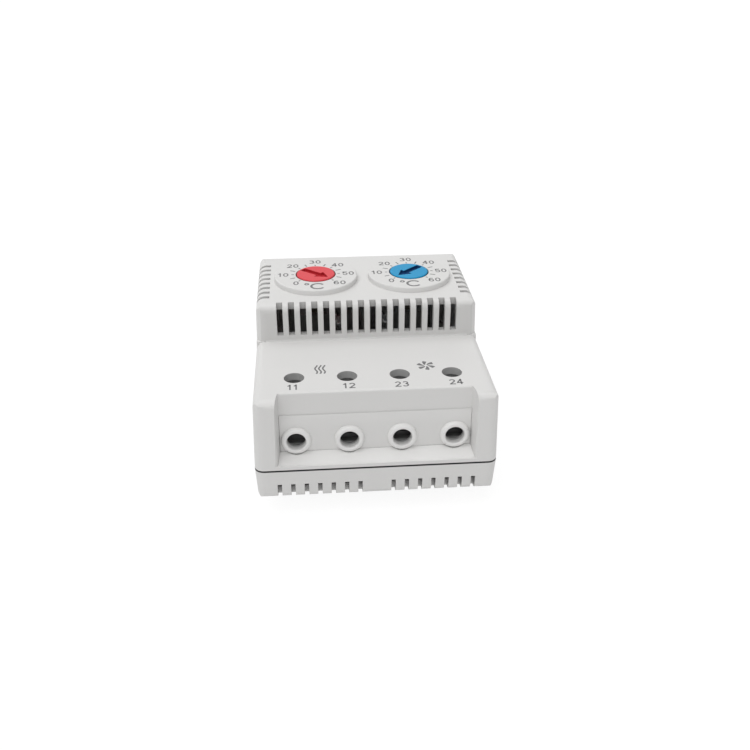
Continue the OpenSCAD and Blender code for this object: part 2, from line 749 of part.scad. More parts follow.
// The arm over each fixed contact bar that holds its calibration screw
module calibration_bridge() difference() {
    block([calibration_heating_x - bridge_end, calibration_y - bridge_l / 2, bridge_z],
          [calibration_cooling_x + bridge_end, calibration_y + bridge_l / 2, bridge_z + bridge_t]);
    for (x = [calibration_heating_x, calibration_cooling_x]) translate([x, calibration_y, 0])
        post(calibration_d + 2 * run_fit, bridge_z - over, bridge_z + bridge_t + over);
}

module contact_carrier() in_place() color("dimgray") {
    difference() {
        block([-carrier_w / 2, carrier_y, wall], [carrier_w / 2, block_end, carrier_top]);
        chamber_cuts();
        block_pockets();
    }
    block([-carrier_w / 2, block_end, wall], [carrier_w / 2, carrier_end, carrier_floor]);
    block([-divider_t / 2, block_end, carrier_floor], [divider_t / 2, carrier_end, carrier_top]);
    block([-divider_t / 2, divider_y, carrier_floor], [divider_t / 2, carrier_end, divider_top]);
    for (x = [heating_x, cooling_x]) translate([x, dial_y, 0]) dial_seat();
    bar_ribs();
    calibration_bridge();
}

// The sliding latch and its spring
module rail_latch() in_place() color("dimgray") difference() {
    union() {
        along_x(-latch_w / 2, latch_w / 2) polygon([
            [jaw_y - jaw_l, -flange_gap], [jaw_y - jaw_l, -clip_depth + latch_low],
            [jaw_y + lip_reach - lead_in, -clip_depth + latch_low],
            [jaw_y + lip_reach, -flange_gap - latch_flange_t], [jaw_y + lip_reach, -flange_gap]]);
        block([-latch_w / 2 - latch_flange, jaw_y - jaw_l, -flange_gap - latch_flange_t],
              [latch_w / 2 + latch_flange, jaw_y - clear, -flange_gap]);
        along_z(-flange_gap - latch_tab_t, -flange_gap) polygon(rounded([
            [-latch_w / 2, jaw_y - jaw_l + over, 0], [-latch_w / 2, jaw_y - jaw_l - latch_tab, corner_r],
            [latch_w / 2, jaw_y - jaw_l - latch_tab, corner_r], [latch_w / 2, jaw_y - jaw_l + over, 0]]));
    }
    block([-window_w / 2, window_y, -clip_depth], [window_w / 2, window_y + window_l, over - flange_gap]);
    translate([0, jaw_y - jaw_l - latch_tab + latch_slot_l, 0]) block(
        [-latch_slot_w / 2, 0, -clip_depth], [latch_slot_w / 2, latch_slot_l, 0]);
}

module latch_spring() in_place() color("silver")
    translate([0, window_y + clear + spring_post_l + run_fit,
               -flange_gap - latch_coil_d / 2 - latch_wire_d / 2])
        rotate([-90, 0, 0]) coil(latch_coil_d, latch_wire_d,
            window_l - clear - spring_post_l - latch_wire_d - 2 * run_fit, latch_turns);

// The dials: a knob with a sunk arrow, and the spindle that it turns
module arrow() polygon([
    [-arrow_w / 2, -arrow_tail], [arrow_w / 2, -arrow_tail],
    [arrow_w / 2, arrow_tip - arrow_head_l], [arrow_head_w / 2, arrow_tip - arrow_head_l],
    [0, arrow_tip],
    [-arrow_head_w / 2, arrow_tip - arrow_head_l], [-arrow_w / 2, arrow_tip - arrow_head_l]]);

module flatted(d, low, high) difference() {
    post(d, low, high);
    block([d / 2 - spindle_flat, -d, low - over], [d, d, high + over]);
}

module knob(angle) rotate([0, 0, -angle]) difference() {
    rotate_extrude() polygon(rounded([
        [0, hub_z, 0], [hub_d / 2, hub_z, 0], [hub_d / 2, knob_flange_z, 0],
        [knob_flange_d / 2, knob_flange_z, 0], [knob_flange_d / 2, knob_flange_z + knob_flange_t, 0],
        [knob_d / 2, knob_flange_z + knob_flange_t, 0],
        [knob_d / 2, knob_z, knob_edge_r], [0, knob_z, 0]]));
    flatted(spindle_top_d + 2 * run_fit, hub_z - over, spindle_top_z + fit);
    along_z(knob_z - arrow_depth, knob_z + over) arrow();
}

module spindle(angle) rotate([0, 0, -angle]) {
    post(pivot_d, boss_z - pivot_l, spindle_z);
    post(spindle_low_d, spindle_z, thread_z);
    post(spindle_d, thread_z, spindle_shoulder_z);
    flatted(spindle_top_d, spindle_shoulder_z, spindle_top_z);
}

module setting_nut(rise) translate([0, 0, rise]) difference() {
    union() {
        along_z(nut_z, nut_z + nut_h)
            round_x([-nut_w / 2, -nut_l / 2], [nut_w / 2, nut_l / 2], nut_r);
        block([-post_x - ear_reach, -ear_w / 2, nut_z],
              [post_x + ear_reach, ear_w / 2, nut_z + nut_h]);
    }
    post(spindle_d + 2 * run_fit, nut_z - over, nut_z + nut_h + over);
}

// The spring stands on the strip, whose highest place under it depends on the strip's tilt
module setting_spring(rise, tilt) {
    foot = strip_top + run_fit
        + (hinge_y - dial_y + (setting_coil_d + setting_wire_d) / 2) * sin(tilt);
    translate([0, 0, foot]) coil(setting_coil_d, setting_wire_d,
        nut_z + rise - foot - setting_wire_d - run_fit, setting_turns);
}

heating_rise = nut_rise(stop_angle - heating_angle);
cooling_rise = nut_rise(stop_angle + cooling_angle);

module at_dial(x) in_place() translate([x, dial_y, 0]) children();

module heating_dial() at_dial(heating_x) color("indianred") knob(heating_angle);
module cooling_dial() at_dial(cooling_x) color("steelblue") knob(cooling_angle);
module heating_spindle() at_dial(heating_x) color("goldenrod") spindle(heating_angle);
module cooling_spindle() at_dial(cooling_x) color("goldenrod") spindle(cooling_angle);
module heating_setting_nut() at_dial(heating_x) color("khaki") setting_nut(heating_rise);
module cooling_setting_nut() at_dial(cooling_x) color("khaki") setting_nut(cooling_rise);
module heating_setting_spring() at_dial(heating_x) color("silver")
    setting_spring(heating_rise, 0);
module cooling_setting_spring() at_dial(cooling_x) color("silver")
    setting_spring(cooling_rise, strip_tilt);

module thrust_washers() for (x = [heating_x, cooling_x]) at_dial(x) color("goldenrod") difference() {
    post(washer_d, washer_z, washer_z + washer_t);
    post(pivot_d + 2 * run_fit, washer_z - over, washer_z + washer_t + over);
}

// The bimetal strips, hung at their rivets; the cooling one rests with its contact open
module on_hinge(x, tilt) in_place() translate([x, hinge_y, strip_mid_z]) rotate([-tilt, 0, 0])
    translate([0, -hinge_y, -strip_mid_z]) children();

module bimetal() difference() {
    along_z(strip_z, strip_top) union() {
        round_x([-strip_w / 2, tip_y], [strip_w / 2, strip_end], strip_r);
        translate([0, dial_y]) circle(d = strip_eye_d);
    }
    translate([0, dial_y, 0]) post(strip_hole_d, strip_z - over, strip_top + over);
    translate([0, hinge_y, 0]) post(rivet_d + 2 * root_gap, strip_z - over, strip_top + over);
    translate([0, contact_y, 0])
        post(contact_shank_d + 2 * run_fit, strip_z - over, strip_top + over);
}

module moving_contact() translate([0, contact_y, 0]) {
    post(contact_d, strip_z - contact_t, strip_z);
    post(contact_shank_d, strip_z, strip_top);
    post(contact_d - 2 * contact_cap_in, strip_top, strip_top + contact_cap_t);
}

module fixed_contact(x) in_place() color("silver") translate([x, contact_y, 0])
    post(contact_d, bar_top, strip_z - contact_t - contact_touch);

module magnet(x) in_place() color("slategray") along_z(
    magnet_z, magnet_z + magnet_h) round_x(
        [x - magnet_w / 2, magnet_y], [x + magnet_w / 2, magnet_y + magnet_l], magnet_r);

module heating_bimetal() on_hinge(heating_x, 0) color("rosybrown") bimetal();
module cooling_bimetal() on_hinge(cooling_x, strip_tilt) color("rosybrown") bimetal();
module heating_moving_contact() on_hinge(heating_x, 0) color("silver") moving_contact();
module cooling_moving_contact() on_hinge(cooling_x, strip_tilt) color("silver") moving_contact();
module heating_fixed_contact() fixed_contact(heating_x);
module cooling_fixed_contact() fixed_contact(cooling_x);
module heating_magnet() magnet(heating_x);
module cooling_magnet() magnet(cooling_x);

module bimetal_spacers() for (x = [heating_x, cooling_x]) in_place() color("goldenrod")
    translate([x, hinge_y, 0]) difference() {
        along_z(bar_top, strip_z - root_gap)
            round_x([-strip_w / 2, -spacer_l / 2], [strip_w / 2, spacer_l / 2], strip_r);
        post(rivet_d + 2 * run_fit, bar_z, strip_z);
    }

module bimetal_rivets() for (x = [heating_x, cooling_x]) in_place() color("silver")
    translate([x, hinge_y, 0]) {
        post(rivet_d, bar_z, strip_top + root_gap);
        post(rivet_head_d, strip_top + root_gap, strip_top + root_gap + rivet_head_t);
    }

module calibration_screws() for (x = [calibration_heating_x, calibration_cooling_x])
    in_place() color("silver") translate([x, calibration_y, 0]) difference() {
        union() {
            post(calibration_d, bar_top + run_fit, calibration_top - calibration_head_t);
            post(calibration_head_d, calibration_top - calibration_head_t, calibration_top);
        }
        block([-head_slot_w / 2, -calibration_head_d, calibration_top - head_slot_d],
              [head_slot_w / 2, calibration_head_d, calibration_top + over]);
    }

// The contact bars: the outer pair carries the strips, the inner pair the fixed contacts
module outer_bar_plan() difference() {
    polygon(rounded([
        [terminal_x(3) - bar_w / 2, terminal_y - cage_d / 2 + bar_play, 0],
        [terminal_x(3) + bar_w / 2, terminal_y - cage_d / 2 + bar_play, 0],
        [terminal_x(3) + bar_w / 2, block_end + bar_w / 2, 0],
        [bar_run_x + bar_run_w / 2, block_end + bar_w, bar_w / 4],
        [bar_run_x + bar_run_w / 2, carrier_end - clear, bar_w / 4],
        [cooling_x - bar_tab_in, carrier_end - clear, bar_w / 4],
        [cooling_x - bar_tab_in, hinge_y - spacer_l / 2 - clear, bar_w / 4],
        [bar_run_x - bar_run_w / 2, hinge_y - spacer_l / 2 - clear, bar_w / 8],
        [bar_run_x - bar_run_w / 2, block_end + bar_w * 2, 0],
        [terminal_x(3) - bar_w / 2, block_end + bar_w, 0]]));
    translate([cooling_x, hinge_y]) circle(d = rivet_d + 2 * run_fit);
}

inner_bar_end = max(contact_y + contact_d / 2, calibration_y + calibration_d / 2) + bar_lip;

module inner_bar_plan() polygon(rounded([
    [terminal_x(2) - bar_w / 2, terminal_y - cage_d / 2 + bar_play, 0],
    [terminal_x(2) + bar_w / 2, terminal_y - cage_d / 2 + bar_play, 0],
    [terminal_x(2) + bar_w / 2, contact_y - contact_d / 2 - bar_lip, bar_w / 8],
    [cooling_x + contact_d / 2 + bar_lip, contact_y - contact_d / 2 - bar_lip, bar_w / 8],
    [cooling_x + contact_d / 2 + bar_lip, inner_bar_end, bar_w / 8],
    [terminal_x(2) - bar_w / 2, inner_bar_end, bar_w / 8]]));

module contact_bar(side) in_place() color("peru") scale([side, 1, 1])
    along_z(bar_z, bar_top) children();

module contact_bar_11() contact_bar(-1) outer_bar_plan();
module contact_bar_12() contact_bar(-1) inner_bar_plan();
module contact_bar_23() contact_bar(1) inner_bar_plan();
module contact_bar_24() contact_bar(1) outer_bar_plan();

// The terminal screws and the cages that they lift
module terminal_screw(i) in_place() color("silver") at_terminal(i) difference() {
    union() {
        post(shank_d, screw_tip_z, head_z);
        post(head_d, head_z, head_z + head_t);
    }
    block([-head_slot_w / 2, -head_d, head_z + head_t - head_slot_d],
          [head_slot_w / 2, head_d, head_z + head_t + over]);
}

module clamp_cage(i) in_place() color("lightgray") at_terminal(i) difference() {
    along_y(-cage_d / 2, cage_d / 2)
        round_x([-cage_w / 2, cage_z], [cage_w / 2, cage_top], cage_side_t / 2);
    block([-cage_w / 2 + cage_side_t, -cage_d, cage_in_z], [cage_w / 2 - cage_side_t, cage_d, cage_in_top]);
    post(shank_d + 2 * run_fit, cage_in_top - over, cage_top + over);
}

module terminal_screw_11() terminal_screw(0);
module terminal_screw_12() terminal_screw(1);
module terminal_screw_23() terminal_screw(2);
module terminal_screw_24() terminal_screw(3);
module clamp_cage_11() clamp_cage(0);
module clamp_cage_12() clamp_cage(1);
module clamp_cage_23() clamp_cage(2);
module clamp_cage_24() clamp_cage(3);

front_housing();
rear_base();
wire_panel();
contact_carrier();
rail_latch();
latch_spring();
heating_dial();
cooling_dial();
heating_spindle();
cooling_spindle();
heating_setting_nut();
cooling_setting_nut();
heating_setting_spring();
cooling_setting_spring();
thrust_washers();
heating_bimetal();
cooling_bimetal();
heating_moving_contact();
cooling_moving_contact();
heating_fixed_contact();
cooling_fixed_contact();
heating_magnet();
cooling_magnet();
bimetal_spacers();
bimetal_rivets();
calibration_screws();
contact_bar_11();
contact_bar_12();
contact_bar_23();
contact_bar_24();
terminal_screw_11();
terminal_screw_12();
terminal_screw_23();
terminal_screw_24();
clamp_cage_11();
clamp_cage_12();
clamp_cage_23();
clamp_cage_24();
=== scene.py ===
"""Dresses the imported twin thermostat: shells, dials, scales, printed signs, screws, springs and a studio."""
import json
import math

import bmesh
import bpy
from mathutils import Matrix, Vector


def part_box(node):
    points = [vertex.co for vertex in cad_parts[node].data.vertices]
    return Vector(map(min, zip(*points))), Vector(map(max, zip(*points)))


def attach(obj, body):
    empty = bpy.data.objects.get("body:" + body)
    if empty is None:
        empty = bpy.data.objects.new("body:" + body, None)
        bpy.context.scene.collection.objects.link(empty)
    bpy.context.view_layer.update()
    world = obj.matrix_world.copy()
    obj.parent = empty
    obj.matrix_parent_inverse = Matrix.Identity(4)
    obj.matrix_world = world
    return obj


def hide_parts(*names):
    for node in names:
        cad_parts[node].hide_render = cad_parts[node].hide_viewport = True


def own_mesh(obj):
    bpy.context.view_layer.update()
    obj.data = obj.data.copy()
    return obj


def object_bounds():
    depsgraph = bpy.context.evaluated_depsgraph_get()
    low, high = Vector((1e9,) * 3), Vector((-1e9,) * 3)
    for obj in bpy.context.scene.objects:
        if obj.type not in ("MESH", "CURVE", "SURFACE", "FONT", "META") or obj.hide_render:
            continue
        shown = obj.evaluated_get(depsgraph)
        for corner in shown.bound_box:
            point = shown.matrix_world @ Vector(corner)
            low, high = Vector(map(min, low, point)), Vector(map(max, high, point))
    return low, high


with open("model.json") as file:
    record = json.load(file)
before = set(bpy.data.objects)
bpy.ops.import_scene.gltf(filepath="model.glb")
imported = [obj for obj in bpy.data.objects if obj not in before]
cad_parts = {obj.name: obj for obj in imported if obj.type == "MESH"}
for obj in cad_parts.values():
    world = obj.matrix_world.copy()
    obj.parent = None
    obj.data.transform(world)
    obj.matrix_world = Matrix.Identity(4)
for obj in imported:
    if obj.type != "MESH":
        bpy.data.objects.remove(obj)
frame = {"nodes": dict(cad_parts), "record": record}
cad_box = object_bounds()

bl_info = {
    "name": "Twin Thermostat Dressing",
    "version": (1, 0, 0),
    "blender": (4, 5, 0),
    "location": "View3D > Sidebar > Thermostat",
    "description": "Builds the looks of a twin rail-mount thermostat round its packed solids",
    "category": "Object",
}

# Every length is in metres
UP = Vector((0, 0, 1))
TERMINALS = ("11", "12", "23", "24")
SIDES = ("heating", "cooling")

# Bounds on one part of a face's normal: past these it faces that way, is level or leans, and below the last
# it stands across
FACING = 0.9
LEVEL = 0.97
LEANING = 0.5
ACROSS = 0.3
# How far past a round hole's radius its wall is still picked
HOLE_MARGIN = 0.00005
# Corners that are this near are one: in the copy of a solid, and in a new mesh
SAME_CORNER = 1e-6
SAME_PLACE = 1e-7
# Faces of a copy that meet at less than this are one
SAME_FLAT = math.radians(0.5)

# The ramp before the wire panel: how far it reaches behind the collars' mouths and over the panel's foot
RAMP_BACK = 0.0012
RAMP_RISE = 0.001
# How far round the wire panel the edges of its window stay sharp
WINDOW_MARGIN = 0.0002
# The shade in the corners of the ramp and of the collars: its reach, and the share of the colour it leaves
RAMP_SHADE = (0.0011, 0.25)
COLLAR_SHADE = (0.0011, 0.3)

# The vented wall: how far its middle keeps from deck and discs, and how far its painted shade stays below the
# discs and reaches before and behind the wall's front. Its darker grey, painted shade, ends at the first depth
# behind the front and is full at the second. The last is the share that the shade leaves in it.
STEP_CLEAR = 0.003
STEP_TOP = 0.0005
STEP_FOOT = 0.0008
STEP_DEPTH = 0.0045
STEP_SHADE = (0.0018, 0.0004)
SLOT_SHADE = 0.3
# Its slots: half the span of the row. Their upper ends lie this far below the discs at most, between these
# depths behind the front, and face forward by more than this.
SLOT_HALF_SPAN = 0.0235
SLOT_HEAD = 0.004
SLOT_ENDS = (0.0014, 0.006)
SLOT_LEAN = 0.4

# The wire panel, back from the collars' mouths: the plate's front, a level just past its back, and where the
# bores and the chambers behind them begin and end to turn dark as painted shade
PLATE_FRONT = 0.0011
PLATE_BACK = 0.0025
BORE_SHADE = (0.0014, 0.0020)
CHAMBER_SHADE = (0.0026, 0.0046)
# How far the plate's edges are pushed out into the play round them, how far back that reaches, and how near
# to an edge its corners lie
PANEL_PLAY = 0.000045
PANEL_DEPTH = 0.003
ON_LEVEL = 0.00001

# The arrow sunk in a knob: its reach from the axis, the depths its floor lies between, and its walls' depth
ARROW_REACH = 0.0051
ARROW_FLOOR = (0.0002, 0.002)
ARROW_WALL = 0.0012
# How many edge radii below its top a knob's side begins, the side being darker as painted shade
SIDE_DROP = 2.2

# The dial scales: last figure and sweep, where the ticks start and end, and the shift of the zero
SCALE_END = 60
SCALE_SWEEP = math.radians(270)
TICKS_AT_FIVES = (0.0062, 0.0077)
TICKS_AT_TENS = (0.0061, 0.0068)
ZERO_SHIFT = Vector((0.0009, 0.0003, 0))
# The unit under each scale: the letter's height, stroke and place, and the ring's radius, line and place
UNIT_HEIGHT = 0.0040
UNIT_STROKE = 0.155
UNIT_PLACE = Vector((0.0003, -0.0086, 0))
RING_REACH = 0.00049
RING_LINE = 0.0004
RING_PLACE = Vector((-0.0026, -0.00705, 0))

# Where each terminal number stands beside and in front of its screw hole
NUMBER_PLACES = {"11": (-0.00035, 0.00465), "12": (0.00024, 0.00485), "23": (0.0, 0.00505),
                 "24": (0.00025, 0.00495)}
# How far behind the screw holes the signs stand, and how far each is moved along its row
SIGN_ROW = 0.0039
SIGN_SHIFTS = {"heater": -0.00005, "fan": 0.0005}

# Radius and height of the screws' heads, radius over the thread, and pitch
TERMINAL_SCREW = {"head": 0.0027, "head_t": 0.0016, "shank": 0.0015, "pitch": 0.0005}
CALIBRATION_SCREW = {"head": 0.0023, "head_t": 0.0016, "shank": 0.0014, "pitch": 0.0005}
# Facets round a screw's core, in a turn of its thread and round its head, and its smooth angle
CORE_FACETS = 32
THREAD_FACETS = 24
HEAD_FACETS = 48
SCREW_SMOOTH = math.radians(32)
# Wire diameter and number of turns of the springs, facets in a turn and round the wire, and smooth angle
SETTING_COIL = (0.0005, 3)
LATCH_COIL = (0.0004, 4)
COIL_FACETS = 40
WIRE_FACETS = 12
WIRE_SMOOTH = math.radians(50)

# The lamps: where each stands as seen from the part, and how wide it looks in degrees
LAMPS = {"key": ((-0.3, 0.1, 1.0), 60), "fill": ((0.2, -1.0, 0.5), 60), "front": ((-0.2, -0.72, 0.68), 50)}


# Sizes and colours that a user would change

class MouldingSettings(bpy.types.PropertyGroup):
    """Edges and colours of the moulded shells."""

    edge_radius: bpy.props.FloatProperty(
        name="Edge Radius", description="Rounding of the sharp edges of the shells",
        default=0.0002, min=0.00002, max=0.0004, unit="LENGTH", precision=5)
    edge_angle: bpy.props.FloatProperty(
        name="Edge Angle", description="Edges sharper than this are rounded",
        default=math.radians(38), subtype="ANGLE")
    smooth_angle: bpy.props.FloatProperty(
        name="Smooth Angle", description="Edges flatter than this are shaded smooth",
        default=math.radians(32), subtype="ANGLE")
    pale: bpy.props.FloatVectorProperty(
        name="Pale Grey", description="Colour of the housing, the base and the wire panel",
        default=(0.72, 0.715, 0.705), subtype="COLOR", min=0, max=1)
    # Paler than the pale grey as painted light: the collars, the ramp before them, the plate's edges and the
    # bores' mouths
    collar: bpy.props.FloatVectorProperty(
        name="Collar Light Grey", description="Colour of the wire collars, paler as painted light, and of the ramp before them",
        default=(0.80, 0.795, 0.785), subtype="COLOR", min=0, max=1)
    # Darker than the pale grey as painted shade on the screw holes' walls
    screw_hole: bpy.props.FloatVectorProperty(
        name="Screw Hole Shade Grey", description="Colour of the walls of the screw holes, darker as painted shade",
        default=(0.46, 0.46, 0.455), subtype="COLOR", min=0, max=1)
    # Darker as painted shade in the wire bores past their mouths
    bore: bpy.props.FloatVectorProperty(
        name="Bore Shade Grey", description="Colour of the wire bores past their mouths, darker as painted shade",
        default=(0.50, 0.50, 0.495), subtype="COLOR", min=0, max=1)
    # Dark as painted shade on the wire panel's back, seen deep through the bores
    chamber: bpy.props.FloatVectorProperty(
        name="Chamber Shade Grey", description="Colour of the wire panel's hidden back round the terminals, dark as painted shade",
        default=(0.10, 0.10, 0.10), subtype="COLOR", min=0, max=1)
    # Darker than the pale grey as painted shade on the vented wall's front and the ends of its slots
    step: bpy.props.FloatVectorProperty(
        name="Step Shade Grey", description="Colour of the vented wall between the deck and the dial section, darker as painted shade",
        default=(0.635, 0.63, 0.62), subtype="COLOR", min=0, max=1)
    latch: bpy.props.FloatVectorProperty(
        name="Latch Grey", description="Colour of the sliding latch",
        default=(0.60, 0.60, 0.59), subtype="COLOR", min=0, max=1)
    carrier: bpy.props.FloatVectorProperty(
        name="Carrier Grey", description="Colour of the contact carrier and the setting nuts",
        default=(0.20, 0.20, 0.197), subtype="COLOR", min=0, max=1)
    seam_gap: bpy.props.FloatProperty(
        name="Seam Gap", description="Height of the groove between the housing and the base",
        default=0.0004, unit="LENGTH", precision=5)
    # Dark as painted shade in the groove between the housing and the base
    seam: bpy.props.FloatVectorProperty(
        name="Seam Dust", description="Colour of the painted shade in the groove between the housing and the base",
        default=(0.10, 0.10, 0.10), subtype="COLOR", min=0, max=1)
    cavity_reach: bpy.props.FloatProperty(
        name="Cavity Reach", description="How far off a surface may stand and still shade another",
        default=0.004, unit="LENGTH", precision=5)
    cavity_shade: bpy.props.FloatProperty(
        name="Cavity Shade", description="Share of the colour that is left deep between surfaces",
        default=0.4, subtype="FACTOR", min=0, max=1)


class DialSettings(bpy.types.PropertyGroup):
    """Colours of the two knobs and of the arrows sunk in them."""

    heating: bpy.props.FloatVectorProperty(
        name="Heating Red", description="Colour of the heating knob",
        default=(0.73, 0.07, 0.085), subtype="COLOR", min=0, max=1)
    # Used on the sunk arrows, partly their own deeper colour and partly painted shade, and on the knobs' sides
    # as painted shade
    heating_arrow: bpy.props.FloatVectorProperty(
        name="Heating Arrow", description="Colour of the arrow sunk in the heating knob",
        default=(0.46, 0.017, 0.026), subtype="COLOR", min=0, max=1)
    cooling: bpy.props.FloatVectorProperty(
        name="Cooling Blue", description="Colour of the cooling knob",
        default=(0.012, 0.30, 0.57), subtype="COLOR", min=0, max=1)
    cooling_arrow: bpy.props.FloatVectorProperty(
        name="Cooling Arrow", description="Colour of the arrow sunk in the cooling knob",
        default=(0.0, 0.036, 0.13), subtype="COLOR", min=0, max=1)


class PrintSettings(bpy.types.PropertyGroup):
    """The dial scales and the marks on the terminal deck."""

    ink: bpy.props.FloatVectorProperty(
        name="Ink", description="Colour of the printed scales and signs",
        default=(0.08, 0.08, 0.085), subtype="COLOR", min=0, max=1)
    film: bpy.props.FloatProperty(
        name="Film", description="Thickness of the printed ink",
        default=0.00002, unit="LENGTH", precision=5)
    line: bpy.props.FloatProperty(
        name="Line", description="Width of the scale's ticks",
        default=0.00034, unit="LENGTH", precision=5)
    figure_height: bpy.props.FloatProperty(
        name="Figure Height", description="Height of the scale's figures",
        default=0.0024, unit="LENGTH", precision=5)
    figure_reach: bpy.props.FloatProperty(
        name="Figure Reach", description="Distance of the figures from the dial's axis",
        default=0.0091, unit="LENGTH", precision=5)
    number_height: bpy.props.FloatProperty(
        name="Number Height", description="Height of the terminal numbers",
        default=0.0025, unit="LENGTH", precision=5)
    stroke: bpy.props.FloatProperty(
        name="Stroke", description="Width of the figures' strokes as a share of their height",
        default=0.15, subtype="FACTOR", min=0.05, max=0.3)


class StudioSettings(bpy.types.PropertyGroup):
    """Camera, lamps and floor."""

    lens: bpy.props.FloatProperty(
        name="Lens", description="Focal length on a 36 mm wide sensor",
        default=41.61, unit="CAMERA")
    camera_place: bpy.props.FloatVectorProperty(
        name="Camera Place", description="Where the camera stands",
        default=(-0.01557, -0.21112, 0.13771), subtype="TRANSLATION", unit="LENGTH")
    camera_aim: bpy.props.FloatVectorProperty(
        name="Camera Aim", description="The point at the middle of the picture",
        default=(-0.00083, -0.03702, 0.04038), subtype="TRANSLATION", unit="LENGTH")
    camera_roll: bpy.props.FloatProperty(
        name="Camera Roll", description="Turn of the camera about its line of sight",
        default=math.radians(0.19), subtype="ANGLE")
    ambient: bpy.props.FloatProperty(
        name="Ambient", description="Strength of the even light from all round", default=0.42)
    key: bpy.props.FloatProperty(
        name="Key", description="Strength of the soft light from overhead", default=1.38)
    fill: bpy.props.FloatProperty(
        name="Fill", description="Strength of the soft light from the front", default=0.05)
    front: bpy.props.FloatProperty(
        name="Front", description="Strength of the soft light from above the front", default=0.58)


SETTINGS = {
    "thermostat_mouldings": MouldingSettings,
    "thermostat_dials": DialSettings,
    "thermostat_prints": PrintSettings,
    "thermostat_studio": StudioSettings,
}


# Places read from the frame


def mount(name):
    """The record's entry for a mount."""
    return next(entry for entry in frame["record"]["mounts"] if entry["name"] == name)


def centre_of(node):
    """The middle of a node's box."""
    low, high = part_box(node)
    return (low + high) / 2


def deck_height():
    """Height of the terminal deck, where the screw holes open."""
    hole = mount("screw_access_11")
    return hole["pos_m"][2] + hole["dims"]["length_mm"] / 2000


def disc_height():
    """Height of the faces of the scale discs, which are the highest of the housing."""
    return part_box("front_housing")[1].z


def seam_level():
    """Height of the middle of the groove between the housing and the base."""
    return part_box("front_housing")[0].z - bpy.context.scene.thermostat_mouldings.seam_gap / 2


# Shader nodes

def feed(tree, socket, value):
    """Links a socket to another socket, or sets it to a plain value."""
    if isinstance(value, bpy.types.NodeSocket):
        tree.links.new(value, socket)
    else:
        socket.default_value = value


def add_node(tree, kind, values=None, **settings):
    """A shader node with its settings made first, and then its inputs fed."""
    node = tree.nodes.new(f"ShaderNode{kind}")
    for key, value in settings.items():
        setattr(node, key, value)
    for label, value in (values or {}).items():
        feed(tree, node.inputs[label], value)
    return node


def math_node(tree, operation, first, second=0.0):
    """The result of a sum on sockets or plain numbers."""
    return add_node(tree, "Math", {0: first, 1: second}, operation=operation).outputs[0]


def plus(tree, first, second):
    """The sum of two values."""
    return math_node(tree, "ADD", first, second)


def times(tree, first, second):
    """The product of two values."""
    return math_node(tree, "MULTIPLY", first, second)


def minus(tree, first, second):
    """The first value less the second."""
    return math_node(tree, "SUBTRACT", first, second)


def centred(tree, value, spread):
    """A 0 to 1 value turned into a factor round one."""
    return plus(tree, times(tree, minus(tree, value, 0.5), spread), 1.0)


def noise(tree, vector, scale, detail, roughness=0.5):
    """A noise texture's value on the given coordinates."""
    values = {"Vector": vector, "Scale": scale, "Detail": detail, "Roughness": roughness}
    return add_node(tree, "TexNoise", values).outputs["Fac"]


def stretched(tree, vector, factors):
    """Coordinates times a factor for each axis."""
    return add_node(tree, "VectorMath", {0: vector, 1: factors}, operation="MULTIPLY").outputs["Vector"]


def along(tree, vector, axis):
    """One coordinate out of three."""
    return add_node(tree, "SeparateXYZ", {"Vector": vector}).outputs[axis]


def ramp(tree, value, start, end, low=0.0, kind="LINEAR"):
    """A share that runs from low to one as a value goes from start to end."""
    values = {"Value": value, "From Min": start, "From Max": end, "To Min": low}
    return add_node(tree, "MapRange", values, interpolation_type=kind).outputs["Result"]


def tinted(tree, colour, factor):
    """A colour times a number near one."""
    return add_node(tree, "VectorMath", {0: colour, "Scale": factor}, operation="SCALE").outputs["Vector"]


def blended(tree, factor, first, second):
    """A mix of two colours."""
    node = add_node(tree, "Mix", {"Factor": factor}, data_type="RGBA")
    ends = [socket for socket in node.inputs if socket.type == "RGBA"]
    for end, colour in zip(ends, (first, second)):
        feed(tree, end, colour)
    return next(socket for socket in node.outputs if socket.type == "RGBA")


def openness(tree, reach, share):
    """One where a surface lies open, and down to a share of one deep between surfaces: the painted shade's
    factor.
    """
    hidden_below, open_above = 0.08, 0.5
    level = add_node(tree, "AmbientOcclusion", {"Distance": reach}, samples=8).outputs["AO"]
    return ramp(tree, level, hidden_below, open_above, low=share)


# Node groups that several materials share

def new_group(name, inputs, outputs):
    """An empty shader group with an input for each value, its inner sources and its inner ends."""
    kinds = {3: "NodeSocketVector", 4: "NodeSocketColor"}
    tree = bpy.data.node_groups.new(name, "ShaderNodeTree")
    for label, value in inputs.items():
        kind = "NodeSocketFloat" if isinstance(value, float) else kinds[len(value)]
        tree.interface.new_socket(label, in_out="INPUT", socket_type=kind).default_value = value
    for label in outputs:
        kind = "NodeSocketColor" if label == "Colour" else "NodeSocketFloat"
        tree.interface.new_socket(label, in_out="OUTPUT", socket_type=kind)
    return tree, tree.nodes.new("NodeGroupInput").outputs, tree.nodes.new("NodeGroupOutput").inputs


def moulded_grain():
    """Fine spark-eroded grain with a faint broad mottle, as on matt mouldings."""
    inputs = {"Vector": (0, 0, 0), "Colour": (0.7, 0.7, 0.7, 1), "Mottle": 0.05, "Grain Scale": 5200.0,
              "Roughness": 0.5}
    tree, given, made = new_group("Moulded Grain", inputs, ("Colour", "Roughness", "Height"))
    broad = noise(tree, given["Vector"], 70.0, 3.0)
    fine = noise(tree, given["Vector"], given["Grain Scale"], 3.0, 0.6)
    speck = noise(tree, given["Vector"], 1500.0, 2.0)
    shade = times(tree, centred(tree, broad, given["Mottle"]), centred(tree, speck, 0.02))
    feed(tree, made["Colour"], tinted(tree, given["Colour"], shade))
    feed(tree, made["Roughness"], plus(tree, given["Roughness"], times(tree, minus(tree, fine, 0.5), 0.16)))
    feed(tree, made["Height"], plus(tree, times(tree, fine, 0.8), times(tree, speck, 0.2)))
    return tree


